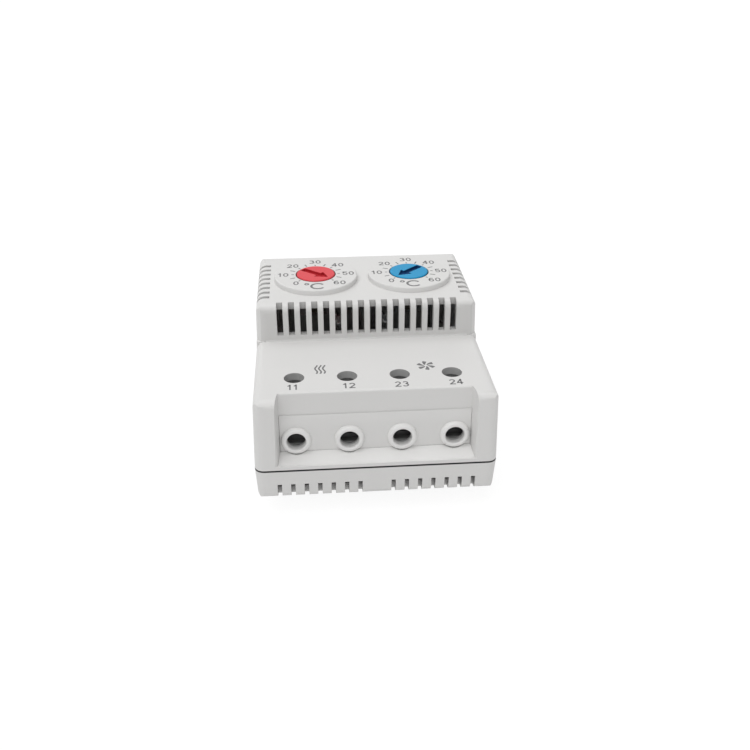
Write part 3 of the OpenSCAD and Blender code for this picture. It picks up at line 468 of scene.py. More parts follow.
def worked_metal():
    """Tool marks drawn out one way, with cloudy plating stains."""
    inputs = {"Vector": (0, 0, 0), "Stretch": (1, 1, 40), "Colour": (0.6, 0.6, 0.6, 1),
              "Stain": (0.4, 0.38, 0.33, 1), "Stain Amount": 0.3, "Roughness": 0.3}
    tree, given, made = new_group("Worked Metal", inputs, ("Colour", "Roughness", "Height"))
    marks = noise(tree, stretched(tree, given["Vector"], given["Stretch"]), 900.0, 4.0, 0.6)
    cloud = noise(tree, given["Vector"], 420.0, 4.0, 0.55)
    amount = times(tree, cloud, given["Stain Amount"])
    feed(tree, made["Colour"], blended(tree, amount, given["Colour"], given["Stain"]))
    uneven = times(tree, plus(tree, marks, cloud), 0.12)
    feed(tree, made["Roughness"], plus(tree, given["Roughness"], uneven))
    feed(tree, made["Height"], marks)
    return tree


def glass_fibre():
    """Short pale fibres that show in the skin of a filled moulding."""
    inputs = {"Vector": (0, 0, 0), "Colour": (0.02, 0.02, 0.02, 1), "Fibre": (0.06, 0.06, 0.06, 1),
              "Amount": 0.5}
    tree, given, made = new_group("Glass Fibre", inputs, ("Colour", "Height"))
    strands = noise(tree, stretched(tree, given["Vector"], (1, 0.14, 0.5)), 3600.0, 1.0)
    amount = times(tree, ramp(tree, strands, 0.56, 0.72), given["Amount"])
    feed(tree, made["Colour"], blended(tree, amount, given["Colour"], given["Fibre"]))
    feed(tree, made["Height"], strands)
    return tree


def print_film():
    """Pad-printed ink: denser and thinner patches, and a softer sheen where it is thin."""
    inputs = {"Vector": (0, 0, 0), "Ink": (0.05, 0.05, 0.05, 1), "Ground": (0.7, 0.7, 0.7, 1),
              "Thinness": 0.25}
    tree, given, made = new_group("Print Film", inputs, ("Colour", "Roughness", "Height"))
    patch = noise(tree, given["Vector"], 2600.0, 3.0, 0.6)
    amount = times(tree, patch, given["Thinness"])
    feed(tree, made["Colour"], blended(tree, amount, given["Ink"], given["Ground"]))
    feed(tree, made["Roughness"], plus(tree, times(tree, patch, 0.25), 0.4))
    feed(tree, made["Height"], patch)
    return tree


def seam_dust():
    """Painted shade that lies in the groove between two shells, in a narrow band of heights."""
    inputs = {"Vector": (0, 0, 0), "Colour": (0.7, 0.7, 0.7, 1), "Dust": (0.1, 0.1, 0.1, 1), "Level": 0.013,
              "Reach": 0.0002}
    tree, given, made = new_group("Seam Dust", inputs, ("Colour",))
    away = math_node(tree, "ABSOLUTE", minus(tree, along(tree, given["Vector"], "Z"), given["Level"]))
    band = ramp(tree, away, times(tree, given["Reach"], 1.5), given["Reach"], kind="SMOOTHSTEP")
    feed(tree, made["Colour"], blended(tree, band, given["Colour"], given["Dust"]))
    return tree


def depth_shade():
    """A colour that turns into a deeper one along Y, from one depth to another."""
    inputs = {"Vector": (0, 0, 0), "Colour": (0.7, 0.7, 0.7, 1), "Deep": (0.02, 0.02, 0.02, 1), "Start": 0.0,
              "End": 0.001}
    tree, given, made = new_group("Depth Shade", inputs, ("Colour",))
    band = ramp(tree, along(tree, given["Vector"], "Y"), given["Start"], given["End"], kind="SMOOTHSTEP")
    feed(tree, made["Colour"], blended(tree, band, given["Colour"], given["Deep"]))
    return tree


GROUPS = {"grain": moulded_grain, "metal": worked_metal, "fibre": glass_fibre, "film": print_film,
          "seam": seam_dust, "depth": depth_shade}
built_groups = {}
built_materials = {}


def group(kind):
    """A shared group, built once."""
    if kind not in built_groups:
        built_groups[kind] = GROUPS[kind]()
    return built_groups[kind]


# Materials

def opaque(colour):
    """A colour with its alpha."""
    return (*colour, 1.0)


def new_material(name, kind, values, surface, relief, layers=(), shaded=None):
    """A material, built once, from a shared group on Object coordinates.

    Each layer is a group that changes the colour, with its values. The surface holds the shader's plain
    values, the relief is a strength and a depth, and the shade has a reach and a share that it leaves."""
    if name in built_materials:
        return built_materials[name]
    material = bpy.data.materials.new(name)
    material.use_nodes = True
    tree = material.node_tree
    where = add_node(tree, "TexCoord").outputs["Object"]
    effect = add_node(tree, "Group", {"Vector": where, **values}, node_tree=group(kind))
    colour = effect.outputs["Colour"]
    for layer, given in layers:
        over = add_node(tree, "Group", {"Vector": where, "Colour": colour, **given}, node_tree=group(layer))
        colour = over.outputs["Colour"]
    if shaded:
        colour = tinted(tree, colour, openness(tree, *shaded))
    height, (strength, depth) = effect.outputs["Height"], relief
    bump = add_node(tree, "Bump", {"Strength": strength, "Distance": depth, "Height": height})
    parts = {"Base Color": colour, "Normal": bump.outputs["Normal"], **surface}
    if "Roughness" in effect.outputs:
        parts["Roughness"] = effect.outputs["Roughness"]
    for label, value in parts.items():
        feed(tree, tree.nodes["Principled BSDF"].inputs[label], value)
    built_materials[name] = material
    return material


def moulded(name, colour, roughness=0.5, grain=5200.0, mottle=0.035, relief=0.22, specular=0.45, seam=None,
            deep=None, shaded=None):
    """Matt or satin moulded plastic.

    It has painted shade in the seam's groove where its level is given. It turns from one depth to another
    into a deeper colour as painted shade. It is darker in cavities as painted shade where its reach and share
    are given."""
    shells = bpy.context.scene.thermostat_mouldings
    layers = []
    if seam is not None:
        layers.append(("seam", {"Dust": opaque(shells.seam), "Level": seam, "Reach": shells.seam_gap / 2}))
    if deep:
        start, end, dark = deep
        layers.append(("depth", {"Deep": opaque(dark), "Start": start, "End": end}))
    values = {"Colour": opaque(colour), "Mottle": mottle, "Grain Scale": grain, "Roughness": roughness}
    surface = {"Specular IOR Level": specular}
    return new_material(name, "grain", values, surface, (relief, 0.00003), layers, shaded)


def filled_plastic(name, colour):
    """Dark plastic filled with short glass, whose fibres are paler."""
    values = {"Colour": opaque(colour), "Fibre": opaque([level * 1.6 for level in colour])}
    surface = {"Roughness": 0.6, "Specular IOR Level": 0.35}
    return new_material(name, "fibre", values, surface, (0.2, 0.00003))


def worked(name, colour, stain, roughness, stretch=(1, 1, 30), amount=0.3):
    """Turned, drawn or rolled metal."""
    values = {"Colour": opaque(colour), "Stain": opaque(stain), "Stain Amount": amount, "Stretch": stretch,
              "Roughness": roughness}
    return new_material(name, "metal", values, {"Metallic": 1.0}, (0.15, 0.00002))


def printed(name, ink, ground):
    """Printed ink on plastic."""
    return new_material(name, "film", {"Ink": opaque(ink), "Ground": opaque(ground)}, {}, (0.1, 0.00001))


def finish_for(slot):
    """The material for one of the record's slots."""
    shells = bpy.context.scene.thermostat_mouldings
    dials = bpy.context.scene.thermostat_dials
    shell = {"seam": seam_level(), "shaded": (shells.cavity_reach, shells.cavity_shade)}
    knob = {"roughness": 0.5, "grain": 7000.0, "mottle": 0.03, "relief": 0.08, "specular": 0.3}
    makers = {
        "housing_plastic": lambda: moulded("Housing Plastic", shells.pale, **shell),
        "base_plastic": lambda: moulded("Base Plastic", shells.pale, **shell),
        "panel_plastic": lambda: moulded(
            "Panel Plastic", shells.pale, roughness=0.42, shaded=(shells.cavity_reach, 0.7)),
        "latch_plastic": lambda: moulded("Latch Plastic", shells.latch, roughness=0.45),
        "black_plastic": lambda: filled_plastic("Carrier Plastic", shells.carrier),
        "nut_plastic": lambda: moulded("Nut Plastic", shells.carrier, roughness=0.4, relief=0.1),
        "heating_plastic": lambda: moulded("Heating Knob Plastic", dials.heating, **knob),
        "cooling_plastic": lambda: moulded("Cooling Knob Plastic", dials.cooling, **knob),
        "brass": lambda: worked("Turned Brass", (0.14, 0.125, 0.10), (0.08, 0.07, 0.06), 0.45),
        "spring_steel": lambda: worked(
            "Spring Wire", (0.60, 0.60, 0.61), (0.35, 0.33, 0.31), 0.2, (1, 1, 1)),
        "plated_steel": lambda: worked("Zinc Plate", (0.72, 0.72, 0.74), (0.52, 0.50, 0.42), 0.24),
        "bimetal": lambda: worked(
            "Rolled Bimetal", (0.24, 0.235, 0.23), (0.15, 0.14, 0.13), 0.35, (30, 1, 1), 0.45),
        "contact_silver": lambda: worked(
            "Contact Silver", (0.86, 0.86, 0.85), (0.55, 0.50, 0.42), 0.12, (1, 1, 1)),
        "magnet_ferrite": lambda: moulded(
            "Ferrite", (0.035, 0.035, 0.038), roughness=0.55, grain=2600.0, mottle=0.3, relief=0.6),
        "bar_copper": lambda: worked(
            "Tinned Copper", (0.24, 0.235, 0.23), (0.18, 0.15, 0.12), 0.4, (1, 30, 1), 0.5),
    }
    return makers[slot]()


# Meshes

def new_piece(name, bm, body, slot, materials=(), smooth=None, node=None):
    """An object at the origin from a bmesh, riding on a body, with its finish.

    It is shaded smooth where an angle is given, and stands for a node where one is named."""
    mesh = bpy.data.meshes.new(name)
    bm.to_mesh(mesh)
    bm.free()
    piece = bpy.data.objects.new(name, mesh)
    bpy.context.scene.collection.objects.link(piece)
    for material in materials or (finish_for(slot),):
        mesh.materials.append(material)
    if smooth is not None:
        mesh.shade_smooth()
        mesh.set_sharp_from_angle(angle=smooth)
        evened = piece.modifiers.new("Even Flats", "WEIGHTED_NORMAL")
        evened.mode = "FACE_AREA"
        evened.keep_sharp = True
    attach(piece, body)
    if node:
        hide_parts(node)
    return piece


def new_print(name, bm, ink):
    """A piece of printed film on the housing."""
    bmesh.ops.recalc_face_normals(bm, faces=bm.faces)
    new_piece(name, bm, "housing", "housing_plastic", (ink,))


def merged_copy(node):
    """A node's surface as a bmesh, with its doubles merged and its flat faces joined."""
    bm = bmesh.new()
    bm.from_mesh(frame["nodes"][node].data)
    bmesh.ops.remove_doubles(bm, verts=bm.verts, dist=SAME_CORNER)
    bmesh.ops.dissolve_limit(bm, angle_limit=SAME_FLAT, verts=bm.verts, edges=bm.edges)
    return bm


def inside(point, box, margin):
    """Whether a point lies in a box grown by a margin."""
    return all(low - margin <= at <= high + margin for at, low, high in zip(point, *box))


def sharp_edges(bm, angle):
    """The edges whose two faces meet at more than the angle."""
    return [edge for edge in bm.edges if len(edge.link_faces) == 2 and edge.calc_face_angle() > angle]


def bevel_edges(bm, edges, radius):
    """Rounds the given edges."""
    bmesh.ops.bevel(bm, geom=edges, offset=radius, offset_type="OFFSET", segments=2, profile=0.5,
                    affect="EDGES", clamp_overlap=True, material=-1)


def round_edges(bm, radius, angle, spared=None):
    """Rounds every edge that is sharper than the angle, but for those whose ends all pass a test."""
    edges = [edge for edge in sharp_edges(bm, angle)
             if not (spared and all(spared(vert.co) for vert in edge.verts))]
    bevel_edges(bm, edges, radius)
    bmesh.ops.remove_doubles(bm, verts=bm.verts, dist=SAME_PLACE)


def finish_faces(bm, index, test):
    """Gives a finish's index to the faces whose middle and normal pass a test."""
    for face in bm.faces:
        if test(face.calc_center_median(), face.normal):
            face.material_index = index


def finish_shell(bm, name, node, body, slot, materials=(), spared=None):
    """Rounds a bmesh's sharp edges and makes it the shell that stands for a node."""
    shells = bpy.context.scene.thermostat_mouldings
    round_edges(bm, shells.edge_radius, shells.edge_angle, spared)
    new_piece(name, bm, body, slot, materials, shells.smooth_angle, node)


def raise_faces(bm, faces, height, keep=False):
    """Extrudes flat faces upwards, keeping a copy below if asked, and gives what was made."""
    made = bmesh.ops.extrude_face_region(bm, geom=faces, use_keep_orig=keep)["geom"]
    tops = [part for part in made if isinstance(part, bmesh.types.BMVert)]
    bmesh.ops.translate(bm, vec=(0, 0, height), verts=tops)
    return made


def outline(bm, points, centre):
    """Corners at (radius, height) pairs in the plane through an upright axis."""
    return [bm.verts.new(centre + Vector((radius, 0, height))) for radius, height in points]


def spun(bm, points, centre, steps):
    """Spins an outline into a closed turned form about an upright axis."""
    verts = outline(bm, points, centre)
    edges = [bm.edges.new(pair) for pair in zip(verts, verts[1:])]
    bmesh.ops.spin(bm, geom=verts + edges, cent=centre, axis=UP, dvec=(0, 0, 0), angle=math.tau, steps=steps,
                   use_merge=True)
    bmesh.ops.remove_doubles(bm, verts=bm.verts, dist=SAME_PLACE)


def wound(bm, section, centre, pitch, turns, steps):
    """Winds a closed section up a helix, with its ends closed."""
    first = bm.faces.new(outline(bm, section, centre))
    bmesh.ops.spin(bm, geom=[first], cent=centre, axis=UP, dvec=(0, 0, pitch / steps),
                   angle=math.tau * turns, steps=round(steps * turns), use_merge=False)


def join_into(target, source):
    """Adds one bmesh to another and frees it."""
    mesh = bpy.data.meshes.new("part")
    source.to_mesh(mesh)
    source.free()
    target.from_mesh(mesh)
    bpy.data.meshes.remove(mesh)


# Printed figures and lines

def bow(centre, reach, start, end, steps=16):
    """Points along part of an ellipse, from one angle to another in degrees."""
    turns = [math.radians(start + (end - start) * step / steps) for step in range(steps + 1)]
    return [(centre[0] + reach[0] * math.cos(turn), centre[1] + reach[1] * math.sin(turn)) for turn in turns]


# The strokes of the printed figures, as centre lines on a height of one
FIGURES = {
    "0": (bow((0, 0), (0.24, 0.43), 90, 450, 24),),
    "1": (((0.04, 0.50), (0.04, -0.50)), ((0.04, 0.40), (-0.19, 0.21))),
    "2": (bow((0, 0.20), (0.23, 0.23), 165, -38) + [(-0.22, -0.43)], ((-0.30, -0.43), (0.29, -0.43))),
    "3": (bow((-0.03, 0.22), (0.22, 0.21), 150, -85), bow((-0.03, -0.195), (0.26, 0.235), 85, -150)),
    "4": (((0.11, 0.50), (0.11, -0.50)), ((0.10, 0.45), (-0.27, -0.20)), ((-0.32, -0.20), (0.30, -0.20))),
    "5": (((0.25, 0.43), (-0.19, 0.43)), ((-0.16, 0.49), (-0.20, -0.01)),
          bow((0, -0.15), (0.25, 0.28), 145, -150)),
    "6": (bow((0, -0.17), (0.24, 0.26), 90, 450, 24), bow((0.03, -0.05), (0.27, 0.48), 50, 185)),
    "C": (bow((0.03, 0), (0.45, 0.435), 38, 322, 28),),
}
# The breadths that figures take up in a row, as shares of their height
FIGURE_BREADTHS = {"1": 0.60}
USUAL_BREADTH = 0.76


def add_figures(bm, words, height, at, prints, stroke=None):
    """Figures drawn in strokes of ink side by side, centred on their place."""
    breadths = [FIGURE_BREADTHS.get(figure, USUAL_BREADTH) * height for figure in words]
    left = -sum(breadths) / 2
    for figure, breadth in zip(words, breadths):
        place = at + Vector((left + breadth / 2, 0, 0))
        left += breadth
        for line in FIGURES[figure]:
            points = [place + Vector((x, y, 0)) * height for x, y in line]
            add_ribbon(bm, points, [height * (stroke or prints.stroke)] * len(points), prints.film)


def add_bar(bm, centre, size, turn, pivot):
    """A flat bar of ink, turned about an upright axis through the pivot."""
    made = bmesh.ops.create_cube(bm, size=1.0)["verts"]
    bmesh.ops.scale(bm, vec=size, verts=made)
    bmesh.ops.translate(bm, vec=centre, verts=made)
    bmesh.ops.rotate(bm, cent=pivot, matrix=Matrix.Rotation(turn, 3, "Z"), verts=made)


def add_ribbon(bm, points, widths, film):
    """A flat ribbon of ink along points, as wide as the widths say, lying on the surface."""
    legs = [(after - before).normalized() for before, after in zip(points, points[1:])]
    closed = (points[0] - points[-1]).length < SAME_PLACE
    rows = []
    for index, point in enumerate(points):
        before = legs[index - 1] if index or closed else legs[0]
        after = legs[index % len(legs)] if index < len(legs) or closed else legs[-1]
        lean = (before + after).normalized()
        across = Vector((-lean.y, lean.x, 0)) * widths[index] / 2 / lean.dot(after)
        rows.append((bm.verts.new(point - across), bm.verts.new(point + across)))
    if closed:
        for spare in rows[-1]:
            bm.verts.remove(spare)
        rows[-1] = rows[0]
    faces = [bm.faces.new((a, c, d, b)) for (a, b), (c, d) in zip(rows, rows[1:])]
    raise_faces(bm, faces, film, keep=True)


# Operators, one for each piece or group of like pieces

class THERMOSTAT_OT_shells(bpy.types.Operator):
    """Builds the housing, the base and the sliding latch with rounded edges"""

    bl_idname = "thermostat.shells"
    bl_label = "Moulded Shells"

    def execute(self, context):
        shells = context.scene.thermostat_mouldings
        bm = merged_copy("front_housing")
        self.finish_screw_holes(bm, 1)
        self.finish_ramp(bm, 2)
        brow = self.finish_step(bm, 3)
        in_slots = (shells.cavity_reach, SLOT_SHADE)
        finishes = (
            finish_for("housing_plastic"),
            # The screw holes' walls are darker as painted shade
            moulded("Screw Hole Plastic", shells.screw_hole,
                    shaded=(shells.cavity_reach, shells.cavity_shade)),
            # The ramp is paler as painted light, and has painted shade in its corners
            moulded("Wire Ramp Plastic", shells.collar, shaded=RAMP_SHADE),
            # The vented wall and its slots' ends are darker as painted shade
            moulded("Vented Wall Plastic", shells.pale, shaded=in_slots,
                    deep=(brow + STEP_SHADE[0], brow + STEP_SHADE[1], shells.step)),
            moulded("Slot End Plastic", shells.step, shaded=in_slots))
        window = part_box("wire_panel")
        finish_shell(bm, "housing_shell", "front_housing", "housing", "housing_plastic", finishes,
                     lambda corner: inside(corner, window, WINDOW_MARGIN))
        finish_shell(merged_copy("rear_base"), "base_shell", "rear_base", "housing", "base_plastic")
        finish_shell(merged_copy("rail_latch"), "latch_slider", "rail_latch", "latch", "latch_plastic")
        return {"FINISHED"}

    def finish_screw_holes(self, bm, index):
        """Picks the walls of the four screw holes."""
        for number in TERMINALS:
            hole = mount(f"screw_access_{number}")
            axis, reach = Vector(hole["pos_m"]), hole["dims"]["r_mm"] / 1000 + HOLE_MARGIN
            finish_faces(bm, index, lambda middle, normal: (
                abs(normal.z) < ACROSS and (middle - axis).xy.length < reach))

    def finish_ramp(self, bm, index):
        """Picks the ramp in front of the wire collars and the flat before it."""
        low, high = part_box("wire_panel")
        finish_faces(bm, index, lambda middle, normal: (
            normal.z > LEANING and middle.y < low.y + RAMP_BACK and low.x < middle.x < high.x
            and middle.z < low.z + RAMP_RISE))

    def finish_step(self, bm, index):
        """Picks the vented wall and the ends of its slots, and gives how far forward the wall stands."""
        deck, top = deck_height(), disc_height()
        wall = [face for face in bm.faces if face.normal.y < -FACING
                and deck + STEP_CLEAR < face.calc_center_median().z < top - STEP_CLEAR]
        brow = min(vert.co.y for face in wall for vert in face.verts)
        finish_faces(bm, index, lambda middle, normal: (
            normal.z < LEVEL and deck < middle.z < top - STEP_TOP
            and brow - STEP_FOOT < middle.y < brow + STEP_DEPTH
            and (abs(normal.x) < LEANING or abs(middle.x) < SLOT_HALF_SPAN)))
        finish_faces(bm, index + 1, lambda middle, normal: (
            normal.y < -SLOT_LEAN and top - SLOT_HEAD < middle.z < top
            and brow + SLOT_ENDS[0] < middle.y < brow + SLOT_ENDS[1] and abs(middle.x) < SLOT_HALF_SPAN))
        return brow


class THERMOSTAT_OT_wire_panel(bpy.types.Operator):
    """Builds the wire panel: collars and plate edges paler as painted light, bores darker inwards as painted
    shade
    """

    bl_idname = "thermostat.wire_panel"
    bl_label = "Wire Panel"

    def execute(self, context):
        shells = context.scene.thermostat_mouldings
        bm = merged_copy("wire_panel")
        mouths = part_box("wire_panel")[0].y
        front, back = mouths + PLATE_FRONT, mouths + PLATE_BACK
        collars_end = front - HOLE_MARGIN
        self.press_home(bm, front)
        finish_faces(bm, 1, lambda middle, normal: middle.y < collars_end)
        finish_faces(bm, 2, lambda middle, normal: abs(normal.y) < ACROSS and front < middle.y < back)
        for number in TERMINALS:
            entry = mount(f"wire_entry_{number}")
            axis, reach = Vector(entry["pos_m"]), entry["dims"]["r_mm"] / 1000 + HOLE_MARGIN
            finish_faces(bm, 3, lambda middle, normal: (
                abs(normal.y) < ACROSS and (middle - axis).xz.length < reach))
        finish_faces(bm, 4, lambda middle, normal: middle.y > back)
        finishes = (
            finish_for("panel_plastic"),
            # The collars and the plate's edges are paler as painted light; the bores and the back turn dark as
            # painted shade
            moulded("Wire Collar Plastic", shells.collar, roughness=0.42, shaded=COLLAR_SHADE),
            moulded("Panel Edge Plastic", shells.collar, roughness=0.42),
            moulded("Wire Entry Plastic", shells.collar,
                    deep=(mouths + BORE_SHADE[0], mouths + BORE_SHADE[1], shells.bore)),
            moulded("Wire Chamber Plastic", shells.bore,
                    deep=(mouths + CHAMBER_SHADE[0], mouths + CHAMBER_SHADE[1], shells.chamber)))
        collar_edges = [edge for edge in sharp_edges(bm, shells.edge_angle)
                        if all(vert.co.y < collars_end for vert in edge.verts)]
        bevel_edges(bm, collar_edges, shells.edge_radius)
        new_piece("wire_panel_shell", bm, "housing", "panel_plastic", finishes, shells.smooth_angle,
                  "wire_panel")
        return {"FINISHED"}

    def press_home(self, bm, front):
        """Lets the plate's edges fill the play round them, as a panel pressed into its window does."""
        rim = [vert.co for vert in bm.verts if abs(vert.co.y - front) < ON_LEVEL]
        for axis in (0, 2):
            low, high = min(place[axis] for place in rim), max(place[axis] for place in rim)
            for limit, step in ((low, -PANEL_PLAY), (high, PANEL_PLAY)):
                for vert in bm.verts:
                    if vert.co.y < front + PANEL_DEPTH and abs(vert.co[axis] - limit) < ON_LEVEL:
                        vert.co[axis] += step


class THERMOSTAT_OT_knobs(bpy.types.Operator):
    """Builds the two knobs: sides darker as painted shade, sunk arrows darker partly in colour, partly as
    shade
    """

    bl_idname = "thermostat.knobs"
    bl_label = "Setting Knobs"

    def execute(self, context):
        rounded = context.scene.thermostat_mouldings.edge_radius * SIDE_DROP
        dials = context.scene.thermostat_dials
        for side, arrow_shade_colour in zip(SIDES, (dials.heating_arrow, dials.cooling_arrow)):
            node = f"{side}_dial"
            axis, top = centre_of(node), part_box(node)[1].z

            # The darker tone is painted shade on the knob's side, and on the sunk arrow partly its own deeper
            # colour and partly shade
            def darker(middle, normal):
                """Whether a face takes the darker tone: the arrow's floor or wall, or the knob's side as
                painted shade.
                """
                depth, near = top - middle.z, (middle - axis).xy.length < ARROW_REACH
                floor = normal.z > FACING and ARROW_FLOOR[0] < depth < ARROW_FLOOR[1]
                wall = near and abs(normal.z) < ACROSS and depth < ARROW_WALL
                return floor or wall or (not near and depth > rounded)

            bm = merged_copy(node)
            finish_faces(bm, 1, darker)
            arrow = moulded(f"{side.title()} Arrow", arrow_shade_colour, roughness=0.6, grain=7000.0, relief=0.1,
                            specular=0.2)
            finish_shell(bm, f"{side}_knob_cap", node, f"{side}_knob", f"{side}_plastic",
                         (finish_for(f"{side}_plastic"), arrow))
        return {"FINISHED"}


class THERMOSTAT_OT_scales(bpy.types.Operator):
    """Prints a scale from 0 to 60 degrees on each disc"""

    bl_idname = "thermostat.scales"
    bl_label = "Dial Scales"

    def execute(self, context):
        prints = context.scene.thermostat_prints
        ink = printed("Scale Ink", prints.ink, context.scene.thermostat_mouldings.pale)
        for side in SIDES:
            base = centre_of(f"{side}_dial")
            base.z = disc_height()
            bm = bmesh.new()
            for value in range(0, SCALE_END + 1, 5):
                turn = (value / SCALE_END - 0.5) * SCALE_SWEEP
                inner, outer = TICKS_AT_FIVES if value % 10 else TICKS_AT_TENS
                middle = base + Vector((0, (inner + outer) / 2, prints.film / 2))
                add_bar(bm, middle, (prints.line, outer - inner, prints.film), -turn, base)
            for value in range(0, SCALE_END + 1, 10):
                turn = (value / SCALE_END - 0.5) * SCALE_SWEEP
                at = base + Vector((math.sin(turn), math.cos(turn), 0)) * prints.figure_reach
                if not value:
                    at += ZERO_SHIFT
                add_figures(bm, str(value), prints.figure_height, at, prints)
            add_figures(bm, "C", UNIT_HEIGHT, base + UNIT_PLACE, prints, UNIT_STROKE)
            ring = [base + RING_PLACE + Vector((x, y, 0))
                    for x, y in bow((0, 0), (RING_REACH, RING_REACH), 0, 360, 24)]
            add_ribbon(bm, ring, [RING_LINE] * len(ring), prints.film)
            new_print(f"{side}_scale_print", bm, ink)
        return {"FINISHED"}


class THERMOSTAT_OT_deck_marks(bpy.types.Operator):
    """Prints the terminal numbers and the heater and fan signs on the deck"""

    bl_idname = "thermostat.deck_marks"
    bl_label = "Deck Marks"

    def execute(self, context):
        prints = context.scene.thermostat_prints
        ink = printed("Deck Ink", prints.ink, context.scene.thermostat_mouldings.pale)
        deck = deck_height()
        holes = {number: Vector(mount(f"screw_access_{number}")["pos_m"]) for number in TERMINALS}
        bm = bmesh.new()
        for number, hole in holes.items():
            aside, ahead = NUMBER_PLACES[number]
            at = Vector((hole.x + aside, hole.y - ahead, deck))
            add_figures(bm, number, prints.number_height, at, prints)
        new_print("terminal_numbers", bm, ink)
        row = holes["11"].y + SIGN_ROW
        for sign, pair, draw in (("heater", ("11", "12"), self.waves), ("fan", ("23", "24"), self.blades)):
            bm = bmesh.new()
            across = sum(holes[number].x for number in pair) / 2 + SIGN_SHIFTS[sign]
            draw(bm, Vector((across, row, deck)), prints.film)
            new_print(f"{sign}_sign", bm, ink)
        return {"FINISHED"}

    def waves(self, bm, at, film):
        """Three upright wavy lines."""
        height, swing, gap, width = 0.0044, 0.00028, 0.00098, 0.0004
        swings, steps = 1.25, 24
        for lane in (-1, 0, 1):
            points = [at + Vector((lane * gap + swing * math.sin(math.tau * swings * step / steps),
                                   height * (step / steps - 0.5), 0)) for step in range(steps + 1)]
            add_ribbon(bm, points, [width] * len(points), film)

    def blades(self, bm, at, film):
        """Six petals that widen outwards, are cut off aslant and lean a little, round an open middle."""
        count, root, reach, root_w, end_w = 6, 0.00045, 0.0022, 0.00024, 0.00128
        first, lean, cut, steps = math.radians(51), 0.34, 1.66, 8
        for blade in range(count):
            points, widths = [], []
            for step in range(steps + 1):
                share = step / steps
                radius = root + (reach - root) * share
                angle = math.tau * blade / count + first - lean * share
                points.append(at + radius * Vector((math.cos(angle), math.sin(angle), 0)))
                widths.append(root_w + (end_w - root_w) * min(share, cut - share))
            add_ribbon(bm, points, widths, film)


class THERMOSTAT_OT_screws(bpy.types.Operator):
    """Builds the terminal screws and the calibration screws with real threads and slotted heads"""

    bl_idname = "thermostat.screws"
    bl_label = "Threaded Screws"

    def execute(self, context):
        for number in TERMINALS:
            node = f"terminal_screw_{number}"
            bm = bmesh.new()
            low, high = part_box(node)
            self.screw(bm, centre_of(node), low.z, high.z, **TERMINAL_SCREW)
            new_piece(f"{node}_threaded", bm, f"screw_{number}", "plated_steel", smooth=SCREW_SMOOTH,
                      node=node)
        low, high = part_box("calibration_screws")
        bm = bmesh.new()
        for x in (low.x + CALIBRATION_SCREW["head"], high.x - CALIBRATION_SCREW["head"]):
            self.screw(bm, Vector((x, (low.y + high.y) / 2, 0)), low.z, high.z, **CALIBRATION_SCREW)
        new_piece("calibration_screw_pair", bm, "housing", "plated_steel", smooth=SCREW_SMOOTH,
                  node="calibration_screws")
        return {"FINISHED"}

    def screw(self, bm, axis, low, high, head, head_t, shank, pitch):
        """A screw from its tip to its slotted head, with a ridge sunk a little in its core for a thread."""
        foot, crest, sunk, lap = pitch * 0.42, pitch * 0.06, 0.00004, 0.0001
        core = shank - pitch * 0.5
        tip = core * 0.7
        centre = Vector((axis.x, axis.y, 0))
        under, start = high - head_t, low + pitch
        profile = [(0, low), (tip, low), (core, start), (core, under + lap), (0, under + lap)]
        spun(bm, profile, centre, CORE_FACETS)
        ridge = [(core - sunk, start - foot), (shank, start - crest), (shank, start + crest),
                 (core - sunk, start + foot)]
        wound(bm, ridge, centre, pitch, (under - low - 2 * pitch) / pitch, THREAD_FACETS)
        self.slotted_head(bm, centre, under, high, head)
        bmesh.ops.recalc_face_normals(bm, faces=bm.faces)

    def slotted_head(self, bm, centre, under, high, head):
        """A cheese head whose two halves stand on each side of a slot."""
        slot, sunk, rounding, sharper = 0.0009, 0.0008, 0.00009, math.radians(50)
        part = bmesh.new()
        disc = bmesh.ops.create_circle(part, cap_ends=True, segments=HEAD_FACETS, radius=head)
        bmesh.ops.translate(part, vec=centre + Vector((0, 0, under)), verts=disc["verts"])
        for side in (-1, 1):
            geom = part.verts[:] + part.edges[:] + part.faces[:]
            bmesh.ops.bisect_plane(part, geom=geom, dist=SAME_PLACE,
                                   plane_co=centre + Vector((side * slot / 2, 0, 0)), plane_no=(1, 0, 0))
        made = raise_faces(part, part.faces[:], high - sunk - under)
        halves = [face for face in made if isinstance(face, bmesh.types.BMFace)
                  and abs(face.calc_center_median().x - centre.x) > slot / 2]
        raise_faces(part, halves, sunk)
        bmesh.ops.delete(part, geom=halves, context="FACES_ONLY")
        bmesh.ops.recalc_face_normals(part, faces=part.faces)
        round_edges(part, rounding, sharper)
        join_into(bm, part)


